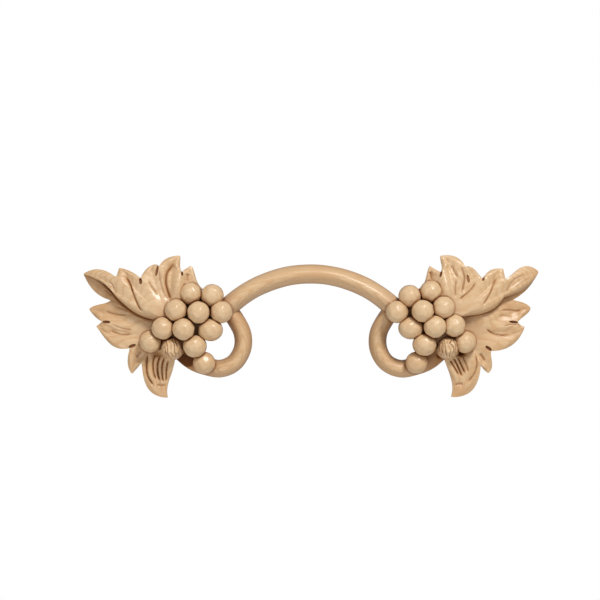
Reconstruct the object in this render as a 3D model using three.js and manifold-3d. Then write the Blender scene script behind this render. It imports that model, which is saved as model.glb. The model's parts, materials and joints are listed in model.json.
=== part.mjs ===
// Carved grapevine onlay in pale hardwood: an arched vine bow between two clusters of grapes, each with an upper
// vine leaf over a lower one and a vine crook that curls under the cluster.
// One solid. Millimetres, +X right, +Y into the wall, +Z up. The flat back lies on Y = 0 and the carving faces -Y.
import * as THREE from "three";
import { mergeVertices } from "three/addons/utils/BufferGeometryUtils.js";
import Module from "manifold-3d";

// Driving sizes.
const WIDTH = 304.8;
const HEIGHT = 95.25;
const DEPTH = 38.1;
const BOW_THICKNESS = 12.9;
const BOW_END_THICKNESS = 13.6;
const LOOP_THICKNESS = 11.8;
const GRAPE_RADIUS = 7.55;
const LEAF_EDGE = 4.2;
const VEIN_WIDTH = 1.6;
const VEIN_DEPTH = 1.3;
const EDGE_DROP = 0.8;
const HEM_STEP = 1.7;
const GROUND_CLEARANCE = 1.2;

// Relief levels in front of the back plane, as shares of DEPTH; the vine's shoulder is a share of its own level.
const BOW_LEVEL = 0.5;
const BOW_END_LEVEL = 0.58;
const LOOP_LEVEL = 0.4;
const LOOP_TAIL_LEVEL = 0.24;
const LOW_GROUND_LEVEL = 0.2;
const GRAPE_FOOT = 0.12;
const VINE_SHOULDER = 0.34;

// The arch of the bow: half its reach as a share of the half width, its drop as a share of the height.
const BOW_REACH = 0.389;
const BOW_DROP = 0.275;

// Mesh fineness.
const BOW_STEPS = 24;
const LOOP_STEPS = 18;
const GRAPE_SIDES = 12;
const DOME_TURNS = [30, 62];
const VINE_TURNS = [150, 118, 90, 62, 30];
const KNOB_SIDES = 7;
const INNER_ROWS = 2;
const FREE_ROWS = 5;
const EYE_SIDES = 6;
const MERGE_DISTANCE = 1e-4;

// The leaves: ribs of the fluted lobe, sway of a spine towards its vein, fullness of every edge, pull of the back
// towards the root, rib height as a share of the vein depth, longest neck, place of the crest between vein
// and edge, widest vein, how soon beyond the notch the crest leaves the lobe's edge, and where the hem of the
// upper leaf starts to roll down.
const RIBS = 3;
const VEIN_SWAY = 0.5;
const EDGE_FULLNESS = 0.02;
const UNDERCUT_PULL = 0.08;
const RIB_SHARE = 0.6;
const LONGEST_NECK = 0.8;
const CREST = 0.55;
const WIDEST_VEIN = 0.3;
const CREST_SHIFT = 1.6;
const HEM_ROLL_START = 0.35;

// Places below are pairs: percent of the half width out from the middle, percent of the height up from the origin.
// Grapes: place on the left and on the right side, level of the top as a share of DEPTH, and whether it stands on
// the rim of the high ground, the low ground or both.
const GRAPES = [
  { at: [[52.3, -14.0], [52.5, -12.6]], top: 0.82, ground: "high" },
  { at: [[42.9, -15.2], [43.3, -15.8]], top: 0.84, ground: "high" },
  { at: [[58.7, -25.5], [57.9, -23.7]], top: 0.93, ground: "high" },
  { at: [[48.8, -27.0], [48.8, -26.1]], top: 1.0 },
  { at: [[38.9, -26.7], [37.7, -26.7]], top: 0.88, ground: "high" },
  { at: [[64.4, -38.1], [62.6, -36.3]], top: 0.9, ground: "both" },
  { at: [[55.3, -38.7], [54.1, -37.0]], top: 0.98 },
  { at: [[43.7, -39.3], [43.7, -38.0]], top: 0.86, wide: 1.12, ground: "both" },
  { at: [[70.0, -47.6], [67.6, -47.7]], top: 0.76, ground: "both" },
  { at: [[50.5, -50.6], [49.7, -49.6]], top: 0.86, wide: 1.06, ground: "both" },
  { at: [[46.6, -62.5], [46.4, -62.3]], top: 0.7, ground: "low" },
];
const KNOB = { at: [[60.7, -52.1], [60.2, -51.6]], top: 0.76 };

// The crook of the vine, from under the bow's end round to behind the knob.
const LOOP = [
  [37.6, -23.0],
  [33.1, -32.2],
  [30.0, -42.3],
  [30.1, -53.2],
  [33.6, -62.6],
  [39.8, -66.9],
  [46.4, -65.0],
  [52.5, -60.6],
  [58.7, -52.0],
];

// One lobe: its tip; the notch after it; bulges of the edge before and after the tip, near the edge's start and near
// its end, as shares of its length; bend of its mid vein, likewise; crown of its surface and lift of its tip in
// millimetres; ribs where it is fluted.
function lobe(tip, notch, before, after, vein, crown, lift, ribs = 0) {
  return { tip, notch, before, after, vein, crown, lift, ribs };
}

// A leaf is a fan of lobes round its root, from the start round to the last notch. Its height falls from root to rim
// over its reach. The close is the bulge of its hem, which runs from the last notch back to the root.
const UPPER = {
  rootLevel: 0.68,
  rimLevel: 0.34,
  reach: 0.44,
  power: 1.7,
  undercut: 0.45,
  left: {
    root: [62.6, -32.2],
    start: [47.3, -10.4],
    lobes: [
      lobe([52.1, 5.4], [56.2, 1.2], [-0.18, 0], [0.03, 0.1], [0.2, 0.05], 1.6, 0.5),
      lobe([57.3, 12.6], [66.2, 5.2], [-0.2, 0], [0.15, 0.22], [0.19, -0.4], 3.0, 1.5),
      lobe([68.8, 6.3], [74.3, -3.1], [0.17, 0.19], [0.15, 0.1], [0.2, -0.3], 1.8, 0.5),
      lobe([83.7, 4.0], [85.1, -2.4], [0.07, 0.09], [0, 0], [-0.42, 0.06], 2.2, 1.0),
      lobe([99.8, -0.2], [85.4, -16.1], [0.18, 0.28], [-0.11, -0.14], [-0.1, 0.05], 2.0, 1.5),
    ],
    close: [0.14, 0.2],
  },
  right: {
    root: [63.1, -31.4],
    start: [47.3, -10.4],
    lobes: [
      lobe([52.2, 5.3], [56.9, 1.2], [-0.25, 0], [-0.05, -0.06], [0.2, 0.05], 1.6, 0.5),
      lobe([57.1, 12.65], [67.6, 5.0], [-0.22, 0.07], [0.2, 0.27], [0.04, -0.35], 3.0, 1.5),
      lobe([69.7, 4.9], [75.5, -3.5], [0.06, 0.09], [0.13, -0.07], [0.25, -0.35], 1.8, 0.5),
      lobe([84.2, 3.4], [85.2, -4.0], [0.24, 0.23], [0.02, 0.02], [-0.35, 0], 2.2, 1.0),
      lobe([100.2, 1.6], [84.8, -16.9], [0.07, 0.47], [0.2, 0.1], [-0.1, 0.05], 2.0, 1.5),
    ],
    close: [0.26, 0.04],
  },
};
const LOWER = {
  rootLevel: 0.44,
  rimLevel: 0.2,
  reach: 0.42,
  power: 1.5,
  undercut: 0.38,
  left: {
    root: [66.2, -44.5],
    start: [64.0, -26.0],
    lobes: [
      lobe([99.8, -0.2], [87.8, -18.6], [0, 0], [0.14, 0.17], [0.1, 0], 1.6, 5.2),
      lobe([97.3, -24.8], [91.6, -33.6], [-0.11, 0.12], [0.08, 0.09], [0.27, 0.04], 1.6, 1.2),
      lobe([94.1, -37.0], [79.3, -52.2], [0, 0], [0.1, 0.33], [0.01, -0.08], 2.0, 1.4),
      lobe([78.5, -70.0], [74.1, -62.3], [0.1, 0.2], [0, 0], [0.04, 0.2], 1.6, 0.8),
      lobe([62.9, -86.99], [59.6, -60.4], [0.18, 0.4], [-0.16, 0.02], [0.3, 0.39], 3.4, 2.6, RIBS),
    ],
    close: [0, 0],
  },
  right: {
    root: [66.4, -43.8],
    start: [64.0, -26.0],
    lobes: [
      lobe([100.2, 1.6], [89.1, -18.3], [0, 0], [0.11, 0.1], [0.1, 0], 1.6, 5.2),
      lobe([96.8, -24.0], [91.1, -33.9], [0.04, 0.16], [0.16, -0.06], [0.35, 0.02], 1.6, 1.2),
      lobe([94.1, -37.5], [79.2, -54.2], [-0.14, -0.06], [0.22, 0.22], [0.2, -0.2], 2.0, 1.4),
      lobe([78.3, -69.6], [74.8, -63.6], [-0.02, 0.24], [0.1, 0.13], [0.07, 0.2], 1.6, 0.8),
      lobe([62.0, -86.5], [58.7, -60.0], [0.23, 0.39], [-0.19, -0.06], [0.24, 0.38], 3.4, 2.6, RIBS),
    ],
    close: [0, 0],
  },
};

// Eyes: small slots cut where two lobes meet, as two ends, a width in millimetres and the floor's level.
const EYES = {
  left: [
    { from: [56.2, 2.2], to: [56.0, -1.4], width: 1.3, floor: 0.32 },
    { from: [66.6, 5.6], to: [67.5, -1.4], width: 1.5, floor: 0.32 },
    { from: [74.2, -1.2], to: [74.1, -7.2], width: 2.0, floor: 0.32 },
    { from: [92.4, -33.6], to: [87.9, -33.9], width: 1.5, floor: 0.16 },
    { from: [80.2, -52.0], to: [76.6, -49.8], width: 2.4, floor: 0.16 },
  ],
  right: [
    { from: [57.2, 2.0], to: [56.5, -2.4], width: 1.5, floor: 0.32 },
    { from: [68.5, -1.0], to: [69.1, -6.0], width: 2.2, floor: 0.32 },
    { from: [75.6, -1.8], to: [75.1, -6.2], width: 1.8, floor: 0.32 },
    { from: [91.6, -34.2], to: [86.2, -33.4], width: 1.5, floor: 0.16 },
    { from: [79.8, -54.2], to: [76.8, -50.2], width: 2.4, floor: 0.16 },
  ],
};

const wasm = await Module();
wasm.setup();

const SIDES = [
  { key: "left", sign: -1, index: 0 },
  { key: "right", sign: 1, index: 1 },
];

// A place in percent becomes millimetres on the right-hand side of the middle.
function place([x, z]) {
  return new THREE.Vector2((x / 100) * (WIDTH / 2), (z / 100) * HEIGHT);
}

function smooth(t) {
  const u = Math.min(1, Math.max(0, t));
  return u * u * (3 - 2 * u);
}

// A closed body from triangles of points; mirrored to the left side where sign is negative.
function body(triangles, sign = 1) {
  const flat = [];
  for (const [a, b, c] of triangles)
    for (const p of sign < 0 ? [a, c, b] : [a, b, c]) flat.push(sign * p.x, p.y, p.z);
  const geometry = new THREE.BufferGeometry();
  geometry.setAttribute("position", new THREE.Float32BufferAttribute(flat, 3));
  return solid(geometry);
}

// A solid from a closed geometry; collapsed triangles are dropped and an inside-out one is turned.
function solid(geometry) {
  const bare = geometry.index ? geometry.toNonIndexed() : geometry.clone();
  bare.deleteAttribute("normal");
  bare.deleteAttribute("uv");
  const merged = mergeVertices(bare, MERGE_DISTANCE);
  const index = merged.index.array;
  const kept = [];
  for (let i = 0; i < index.length; i += 3) {
    const [a, b, c] = [index[i], index[i + 1], index[i + 2]];
    if (a !== b && b !== c && c !== a) kept.push(a, b, c);
  }
  const make = (order) =>
    new wasm.Manifold(
      new wasm.Mesh({
        numProp: 3,
        vertProperties: merged.attributes.position.array,
        triVerts: new Uint32Array(order),
      }),
    );
  const made = make(kept);
  if (made.volume() >= 0) return made;
  const turned = [];
  for (let i = 0; i < kept.length; i += 3) turned.push(kept[i], kept[i + 2], kept[i + 1]);
  return make(turned);
}

function quad(out, a, b, c, d) {
  out.push([a, b, c], [a, c, d]);
}

// A point of an edge from one place to another; bulge moves it outwards near the start and near the end.
function edgePoint(from, to, bulge, u) {
  const along = to.clone().sub(from);
  const length = along.length();
  const out = new THREE.Vector2(-along.y, along.x).divideScalar(length || 1);
  const lift = length * (bulge[0] * 3 * u * (1 - u) ** 2 + bulge[1] * 3 * u * u * (1 - u));
  return from.clone().addScaledVector(along, u).addScaledVector(out, lift);
}

// Offsets across a lobe from one edge (-1) to the other (1), closer together at the mid vein.
function columns(ribs, halfWidth) {
  const near = Math.min(WIDEST_VEIN, VEIN_WIDTH / 2 / halfWidth);
  if (!ribs) return [-1, -CREST, -near, 0, near, CREST, 1];
  const list = [];
  for (let i = -2 * ribs; i <= 2 * ribs; i++) list.push(i / (2 * ribs));
  return list;
}

// Level of a leaf's surface at a place, before its lobes are shaped.
function baseLevel(spec, side, p) {
  const reach = spec.reach * (WIDTH / 2);
  const fall = Math.min(1, p.distanceTo(place(spec[side.key].root)) / reach) ** spec.power;
  return DEPTH * (spec.rootLevel + (spec.rimLevel - spec.rootLevel) * fall);
}

// One leaf: a fan of lobes with crowned, veined front, an edge of LEAF_EDGE and an undercut back on the wall plane.
function leaf(spec, side, under) {
  const shape = spec[side.key];
  const root = place(shape.root);
  const lobes = shape.lobes;
  const rows = INNER_ROWS + FREE_ROWS;
  const count = lobes.length;
  const triangles = [];
  const grids = lobes.map((own, k) => {
    const before = place(k ? lobes[k - 1].notch : shape.start);
    const after = place(own.notch);
    const tip = place(own.tip);
    const length = tip.distanceTo(root);
    const neck = Math.min(LONGEST_NECK, (before.distanceTo(root) + after.distanceTo(root)) / 2 / length);
    const cols = columns(own.ribs, before.distanceTo(after) / 2);
    const bend = own.vein.map((v) => v * VEIN_SWAY);
    const full = (bulge) => bulge.map((b) => b + EDGE_FULLNESS);
    const last = k === count - 1;
    const hem = last ? [-shape.close[1], -shape.close[0]] : [0, 0];
    const beside = (t) => (lobes[k + Math.sign(t)] ?? own).crown;
    const spine = (span) => edgePoint(root, tip, bend, span);
    const margin = (i, t) => {
      const u = (i - INNER_ROWS) / FREE_ROWS;
      if (t < 0) return edgePoint(before, tip, full(own.before), u);
      return edgePoint(tip, after, full(own.after), 1 - u);
    };
    const seam = (i, t, shrink) => {
      const u = (i / INNER_ROWS) * shrink;
      return t < 0 ? edgePoint(root, before, [0, 0], u) : edgePoint(root, after, hem, u);
    };
    const spread = (i, t, cut) => {
      const inner = i <= INNER_ROWS;
      const u = inner ? i / INNER_ROWS : (i - INNER_ROWS) / FREE_ROWS;
      const shrink = 1 - UNDERCUT_PULL * cut;
      const span = inner ? neck * u : neck + (1 - neck) * u;
      const mid = spine(span * shrink);
      if (inner) return mid.lerp(seam(i, t, shrink), Math.abs(t));
      const half = margin(i, t).sub(spine(span)).multiplyScalar(1 - cut * Math.min(1, 2 * u));
      const kept = seam(INNER_ROWS, t, shrink).sub(spine(neck * shrink));
      kept.sub(seam(INNER_ROWS, t, 1)).add(spine(neck)).multiplyScalar(1 - u);
      return mid.addScaledVector(half.add(kept), Math.abs(t));
    };
    const freeShare = (i) => Math.max(0, (i - INNER_ROWS) / FREE_ROWS);
    const height = (i, t) => {
      const u = freeShare(i);
      const ramp = smooth(i / INNER_ROWS);
      const open = u > 0 || (k === 0 && t < 0) || (last && t > 0) ? ramp : 0;
      const sweep = Math.abs(t) * (Math.PI / 2) * (1 + smooth(CREST_SHIFT * u));
      const crown = THREE.MathUtils.lerp(own.crown, (own.crown + beside(t)) / 2, Math.abs(t));
      let rise = crown * Math.sin(sweep) * ramp * (1 - u ** 3) + own.lift * u * u;
      rise -= EDGE_DROP * open * (Math.abs(t) ** 3 * (1 - u ** 4) + u ** 4);
      const flute = RIB_SHARE * (1 - t * t) * (1 - u * u) * Math.cos(2 * Math.PI * own.ribs * t);
      if (own.ribs) rise += VEIN_DEPTH * ramp * flute;
      else if (t === 0) rise -= VEIN_DEPTH * ramp * (1 - u ** 3);
      return baseLevel(spec, side, spread(i, t, 0)) + rise;
    };
    const settled = (i, t) => {
      if (!under || !last || t <= 0) return height(i, t);
      const u = freeShare(i);
      const below = under[side.key].lobes[0];
      const ground = baseLevel(under, side, spread(i, 1, 0)) + below.crown * (1 - u ** 3) + below.lift * u * u;
      const drop = ground + HEM_STEP * (1 - 0.85 * smooth(u / 0.7)) - height(i, 1);
      const past = THREE.MathUtils.clamp((t - HEM_ROLL_START) / (1 - HEM_ROLL_START), 0, 1);
      const roll = 1 - Math.sqrt(1 - past ** 2);
      const fade = smooth((2 * i) / INNER_ROWS) * (1 - u ** 4);
      return height(i, t) + fade * drop * THREE.MathUtils.lerp(roll, smooth(t), 0.35);
    };
    const front = (i, t) => {
      const p = spread(i, t, 0);
      return new THREE.Vector3(p.x, -settled(i, t), p.y);
    };
    const lower = (i, t) => {
      const p = front(i, t);
      p.y = Math.min(-1, p.y + LEAF_EDGE);
      return p;
    };
    const back = (i, t) => {
      const p = spread(i, t, spec.undercut);
      return new THREE.Vector3(p.x, 0, p.y);
    };
    return { cols, front, lower, back };
  });
  grids.forEach(({ cols, front, lower, back }, k) => {
    for (let i = 0; i < rows; i++) {
      for (let j = 0; j + 1 < cols.length; j++) {
        const [s, t] = [cols[j], cols[j + 1]];
        quad(triangles, front(i, s), front(i, t), front(i + 1, t), front(i + 1, s));
        quad(triangles, back(i, s), back(i + 1, s), back(i + 1, t), back(i, t));
      }
      if (i >= INNER_ROWS || k === 0) {
        quad(triangles, front(i, -1), front(i + 1, -1), lower(i + 1, -1), lower(i, -1));
        quad(triangles, lower(i, -1), lower(i + 1, -1), back(i + 1, -1), back(i, -1));
      }
      if (i >= INNER_ROWS || k === count - 1) {
        quad(triangles, front(i, 1), lower(i, 1), lower(i + 1, 1), front(i + 1, 1));
        quad(triangles, lower(i, 1), back(i, 1), back(i + 1, 1), lower(i + 1, 1));
      }
    }
  });
  return body(triangles, side.sign);
}

// A turned form with its axis along Y, facing -Y; profile as radius and height pairs; wide stretches it sideways.
function turned(at, profile, sides, sign, wide = 1) {
  const lathe = new THREE.LatheGeometry(
    profile.map(([r, h]) => new THREE.Vector2(r, -h)),
    sides,
  );
  lathe.scale(wide, 1, 1);
  lathe.translate(sign * at.x, 0, at.y);
  return solid(lathe);
}

// A grape: a dome on a slightly tapering wall. Its corners stand outside the true radius by half the facet's loss.
function grape(at, level, sign, wide) {
  const radius = GRAPE_RADIUS * (2 / (1 + Math.cos(Math.PI / GRAPE_SIDES)));
  const middle = level - GRAPE_RADIUS;
  const foot = DEPTH * GRAPE_FOOT;
  const profile = [[0, foot], [radius * 0.86, foot], [radius, middle]];
  for (const turn of DOME_TURNS) {
    const angle = THREE.MathUtils.degToRad(turn);
    profile.push([radius * Math.cos(angle), middle + GRAPE_RADIUS * Math.sin(angle)]);
  }
  profile.push([0, level]);
  return turned(at, profile, GRAPE_SIDES, sign, wide);
}

// The chiselled knob: a blunt, rough-cut stump.
function knob(at, level, sign) {
  const radius = GRAPE_RADIUS * 1.06;
  const profile = [
    [0, 0],
    [radius * 0.7, 0],
    [radius * 1.02, level * 0.62],
    [radius * 0.86, level * 0.88],
    [radius * 0.42, level],
    [0, level],
  ];
  return turned(at, profile, KNOB_SIDES, sign);
}

// A prism from the back plane up to a level, over a ring of places.
function prism(points, low, high) {
  const shape = new THREE.Shape(points);
  const geometry = new THREE.ExtrudeGeometry(shape, { depth: high - low, bevelEnabled: false });
  geometry.rotateX(Math.PI / 2);
  geometry.translate(0, -low, 0);
  return solid(geometry);
}

// A vine: a half-round section on short straight walls, flat at the back, carried along a path.
// Each station has a place, a thickness and a level.
function vine(stations, sign) {
  const section = [[-0.5, 0], [-0.5, VINE_SHOULDER]];
  for (const turn of VINE_TURNS) {
    const angle = THREE.MathUtils.degToRad(turn);
    section.push([0.5 * Math.cos(angle), VINE_SHOULDER + (1 - VINE_SHOULDER) * Math.sin(angle)]);
  }
  section.push([0.5, VINE_SHOULDER], [0.5, 0]);
  const rings = stations.map((station, i) => {
    const from = stations[Math.max(0, i - 1)].at;
    const to = stations[Math.min(stations.length - 1, i + 1)].at;
    const along = to.clone().sub(from).normalize();
    const across = new THREE.Vector2(along.y, -along.x);
    return section.map(([a, h]) => {
      const p = station.at.clone().addScaledVector(across, a * station.thickness);
      return new THREE.Vector3(p.x, -h * station.level, p.y);
    });
  });
  const triangles = [];
  const size = section.length;
  for (let i = 0; i + 1 < rings.length; i++)
    for (let j = 0; j < size; j++) {
      const n = (j + 1) % size;
      quad(triangles, rings[i][j], rings[i][n], rings[i + 1][n], rings[i + 1][j]);
    }
  const last = rings.length - 1;
  for (let j = 1; j + 1 < size; j++) {
    triangles.push([rings[0][0], rings[0][j + 1], rings[0][j]]);
    triangles.push([rings[last][0], rings[last][j], rings[last][j + 1]]);
  }
  return body(triangles, sign);
}

// The bow is an arc through the origin; its radius follows from its reach and drop.
function bow() {
  const reach = BOW_REACH * (WIDTH / 2);
  const drop = BOW_DROP * HEIGHT;
  const radius = (reach * reach + drop * drop) / (2 * drop);
  const half = Math.asin(reach / radius);
  const stations = [];
  for (let i = 0; i <= BOW_STEPS; i++) {
    const share = (2 * i) / BOW_STEPS - 1;
    const angle = half * share;
    const at = new THREE.Vector2(radius * Math.sin(angle), radius * (Math.cos(angle) - 1));
    const thickness = THREE.MathUtils.lerp(BOW_THICKNESS, BOW_END_THICKNESS, share * share);
    const level = DEPTH * THREE.MathUtils.lerp(BOW_LEVEL, BOW_END_LEVEL, share * share);
    stations.push({ at, thickness, level });
  }
  return vine(stations, 1);
}

function loop(sign) {
  const path = new THREE.CatmullRomCurve3(LOOP.map((p) => new THREE.Vector3(place(p).x, place(p).y, 0)));
  const stations = path.getSpacedPoints(LOOP_STEPS).map((p, i) => {
    const share = i / LOOP_STEPS;
    const tail = smooth((share - 0.6) / 0.3);
    return {
      at: new THREE.Vector2(p.x, p.y),
      thickness: LOOP_THICKNESS * (1 + 0.1 * tail),
      level: DEPTH * THREE.MathUtils.lerp(LOOP_LEVEL, LOOP_TAIL_LEVEL, tail),
    };
  });
  return vine(stations, sign);
}

// A slot between two lobes, cut from the front down to its floor.
function eye({ from, to, width, floor }, sign) {
  const [a, b] = [place(from), place(to)];
  const along = b.clone().sub(a);
  const out = new THREE.Vector2(-along.y, along.x).normalize();
  const ring = [];
  for (let i = 0; i < EYE_SIDES; i++) {
    const angle = ((i + 0.5) / EYE_SIDES) * 2 * Math.PI;
    const p = a.clone().lerp(b, 0.5 + 0.55 * Math.cos(angle));
    p.addScaledVector(out, (width / 2) * Math.sin(angle));
    p.x *= sign;
    ring.push(p);
  }
  return prism(ring, DEPTH * floor, DEPTH * 1.1);
}

// The rim of the high or the low ground between the grapes: the grapes that stand on it, in turn round their middle.
function groundRim(kind, index) {
  const rim = GRAPES.filter((g) => g.ground === kind || g.ground === "both").map((g) => place(g.at[index]));
  const middle = rim.reduce((sum, p) => sum.add(p), new THREE.Vector2()).divideScalar(rim.length);
  const turn = (p) => p.clone().sub(middle).angle();
  return rim.sort((a, b) => turn(a) - turn(b));
}

function side(which) {
  const { sign, index, key } = which;
  let made = leaf(UPPER, which, LOWER).add(leaf(LOWER, which)).add(loop(sign));
  const centres = GRAPES.map((g) => place(g.at[index]));
  const stump = place(KNOB.at[index]);
  const mirrored = (list) => list.map((p) => new THREE.Vector2(sign * p.x, p.y));
  const lowestTop = Math.min(...GRAPES.filter((g) => g.ground !== "low").map((g) => g.top));
  const highGround = DEPTH * lowestTop - GRAPE_RADIUS - GROUND_CLEARANCE;
  made = made.add(prism(mirrored(groundRim("high", index)), 0, highGround));
  made = made.add(prism(mirrored(groundRim("low", index)), 0, DEPTH * LOW_GROUND_LEVEL));
  for (const cut of EYES[key]) made = made.subtract(eye(cut, sign));
  GRAPES.forEach((g, i) => {
    made = made.add(grape(centres[i], g.top * DEPTH, sign, g.wide));
  });
  return made.add(knob(stump, KNOB.top * DEPTH, sign));
}

let whole = bow();
for (const which of SIDES) whole = whole.add(side(which));

// Wood fills every pocket that the forms close off between them.
whole = whole.decompose().filter((shell) => shell.volume() > 0).reduce((sum, shell) => sum.add(shell));

const mesh = whole.getMesh();
const geometry = new THREE.BufferGeometry();
const corners = [];
for (const v of mesh.triVerts)
  for (let k = 0; k < 3; k++) corners.push(mesh.vertProperties[v * mesh.numProp + k]);
geometry.setAttribute("position", new THREE.Float32BufferAttribute(corners, 3));
geometry.computeVertexNormals();

const maple = new THREE.MeshStandardMaterial({
  color: new THREE.Color("#d0ad85"),
  roughness: 0.55,
  metalness: 0,
});

const onlay = new THREE.Mesh(geometry, maple);
onlay.name = "carved_onlay";

const group = new THREE.Group();
group.add(onlay);
export default group;
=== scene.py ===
"""A carved grapevine onlay in satin maple: an arched vine bow between two clusters of grapes and leaves."""
import json
import math
import random

import bpy
import numpy as np
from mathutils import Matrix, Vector, noise
from mathutils.bvhtree import BVHTree
from mathutils.kdtree import KDTree

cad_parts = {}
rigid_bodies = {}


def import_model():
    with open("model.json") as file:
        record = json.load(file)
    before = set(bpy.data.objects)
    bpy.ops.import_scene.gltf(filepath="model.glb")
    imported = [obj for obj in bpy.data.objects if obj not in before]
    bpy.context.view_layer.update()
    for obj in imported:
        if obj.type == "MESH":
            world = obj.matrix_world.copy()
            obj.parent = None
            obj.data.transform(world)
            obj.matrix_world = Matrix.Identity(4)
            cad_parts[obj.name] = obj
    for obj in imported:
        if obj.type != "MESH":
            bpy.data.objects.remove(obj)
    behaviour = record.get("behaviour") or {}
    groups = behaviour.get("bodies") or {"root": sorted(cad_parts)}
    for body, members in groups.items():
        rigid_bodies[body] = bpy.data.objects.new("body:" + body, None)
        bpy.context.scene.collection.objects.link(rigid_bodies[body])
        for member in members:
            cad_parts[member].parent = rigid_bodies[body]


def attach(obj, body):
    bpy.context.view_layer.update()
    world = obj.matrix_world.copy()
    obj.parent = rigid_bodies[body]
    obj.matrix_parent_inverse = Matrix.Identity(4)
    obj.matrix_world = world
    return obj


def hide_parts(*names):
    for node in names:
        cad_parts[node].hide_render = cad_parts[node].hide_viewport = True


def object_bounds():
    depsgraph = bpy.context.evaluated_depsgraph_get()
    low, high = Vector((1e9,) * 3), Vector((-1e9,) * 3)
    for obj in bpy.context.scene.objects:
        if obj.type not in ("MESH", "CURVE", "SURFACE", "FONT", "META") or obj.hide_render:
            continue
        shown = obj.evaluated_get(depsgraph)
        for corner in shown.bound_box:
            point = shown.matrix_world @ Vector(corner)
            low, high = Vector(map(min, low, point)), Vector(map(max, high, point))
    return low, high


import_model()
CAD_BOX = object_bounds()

bl_info = {
    "name": "Carved grapevine onlay",
    "version": (1, 0, 0),
    "blender": (4, 5, 0),
    "location": "View3D > Sidebar > Onlay",
    "description": "Carves the grapevine onlay over its solid and sets the stage for it",
    "category": "Object",
}

MM = 0.001
TINY = 1e-9
NODE = "carved_onlay"

# Places are pairs: percent of the half width out from the middle, percent of the height up from the origin.
GRAPES = [
    {"at": ((52.3, -14.0), (52.5, -12.6)), "top": 0.82, "wide": 1.0, "ground": "high"},
    {"at": ((42.9, -15.2), (43.3, -15.8)), "top": 0.84, "wide": 1.0, "ground": "high"},
    {"at": ((58.7, -25.5), (57.9, -23.7)), "top": 0.93, "wide": 1.0, "ground": "high"},
    {"at": ((48.8, -27.0), (48.8, -26.1)), "top": 1.0, "wide": 1.0, "ground": "none"},
    {"at": ((38.9, -26.7), (37.7, -26.7)), "top": 0.88, "wide": 1.0, "ground": "high"},
    {"at": ((64.4, -38.1), (62.6, -36.3)), "top": 0.9, "wide": 1.0, "ground": "both"},
    {"at": ((55.3, -38.7), (54.1, -37.0)), "top": 0.98, "wide": 1.0, "ground": "none"},
    {"at": ((43.7, -39.3), (43.7, -38.0)), "top": 0.86, "wide": 1.12, "ground": "both"},
    {"at": ((70.0, -47.6), (67.6, -47.7)), "top": 0.76, "wide": 1.0, "ground": "both"},
    {"at": ((50.5, -50.6), (49.7, -49.6)), "top": 0.86, "wide": 1.06, "ground": "both"},
    {"at": ((46.6, -62.5), (46.4, -62.3)), "top": 0.7, "wide": 1.0, "ground": "low"},
]
KNOB = {"at": ((60.7, -52.1), (60.2, -51.6)), "top": 0.8}
LOOP = (
    (37.6, -23.0), (33.1, -32.2), (30.0, -42.3), (30.1, -53.2), (33.6, -62.6),
    (39.8, -66.9), (46.4, -65.0), (52.5, -60.6), (58.7, -52.0),
)

# A leaf is a fan of lobes round its root. It falls from its root's level to its rim's, which it has at its
# reach, a share of the half width. Its edge leans in under it by the share called undercut. One lobe a line:
# tip, the notch after it, bulges of the edge before and after the tip, bend of the mid vein, then crown and
# lift in millimetres.
UPPER = {
    "root_level": 0.68, "rim_level": 0.34, "reach": 0.44, "power": 1.7, "undercut": 0.45,
    "left": {
        "root": (62.6, -32.2), "start": (47.3, -10.4), "close": (0.14, 0.2),
        "lobes": [
            ((52.1, 5.4), (56.2, 1.2), (-0.18, 0), (0.03, 0.1), (0.2, 0.05), 1.6, 0.5),
            ((57.3, 12.6), (66.2, 5.2), (-0.2, 0), (0.15, 0.22), (0.19, -0.4), 3.0, 1.5),
            ((68.8, 6.3), (74.3, -3.1), (0.17, 0.19), (0.15, 0.1), (0.2, -0.3), 1.8, 0.5),
            ((83.7, 4.0), (85.1, -2.4), (0.07, 0.09), (0, 0), (-0.42, 0.06), 2.2, 1.0),
            ((99.8, -0.2), (85.4, -16.1), (0.18, 0.28), (-0.11, -0.14), (-0.1, 0.05), 2.0, -1.0),
        ],
    },
    "right": {
        "root": (63.1, -31.4), "start": (47.3, -10.4), "close": (0.26, 0.04),
        "lobes": [
            ((52.2, 5.3), (56.9, 1.2), (-0.25, 0), (-0.05, -0.06), (0.2, 0.05), 1.6, 0.5),
            ((57.1, 12.65), (67.6, 5.0), (-0.22, 0.07), (0.2, 0.27), (0.04, -0.35), 3.0, 1.5),
            ((69.7, 4.9), (75.5, -3.5), (0.06, 0.09), (0.13, -0.07), (0.25, -0.35), 1.8, 0.5),
            ((84.2, 3.4), (85.2, -4.0), (0.24, 0.23), (0.02, 0.02), (-0.35, 0), 2.2, 1.0),
            ((100.2, 1.6), (84.8, -16.9), (0.07, 0.47), (0.2, 0.1), (-0.1, 0.05), 2.0, -1.0),
        ],
    },
}
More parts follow.
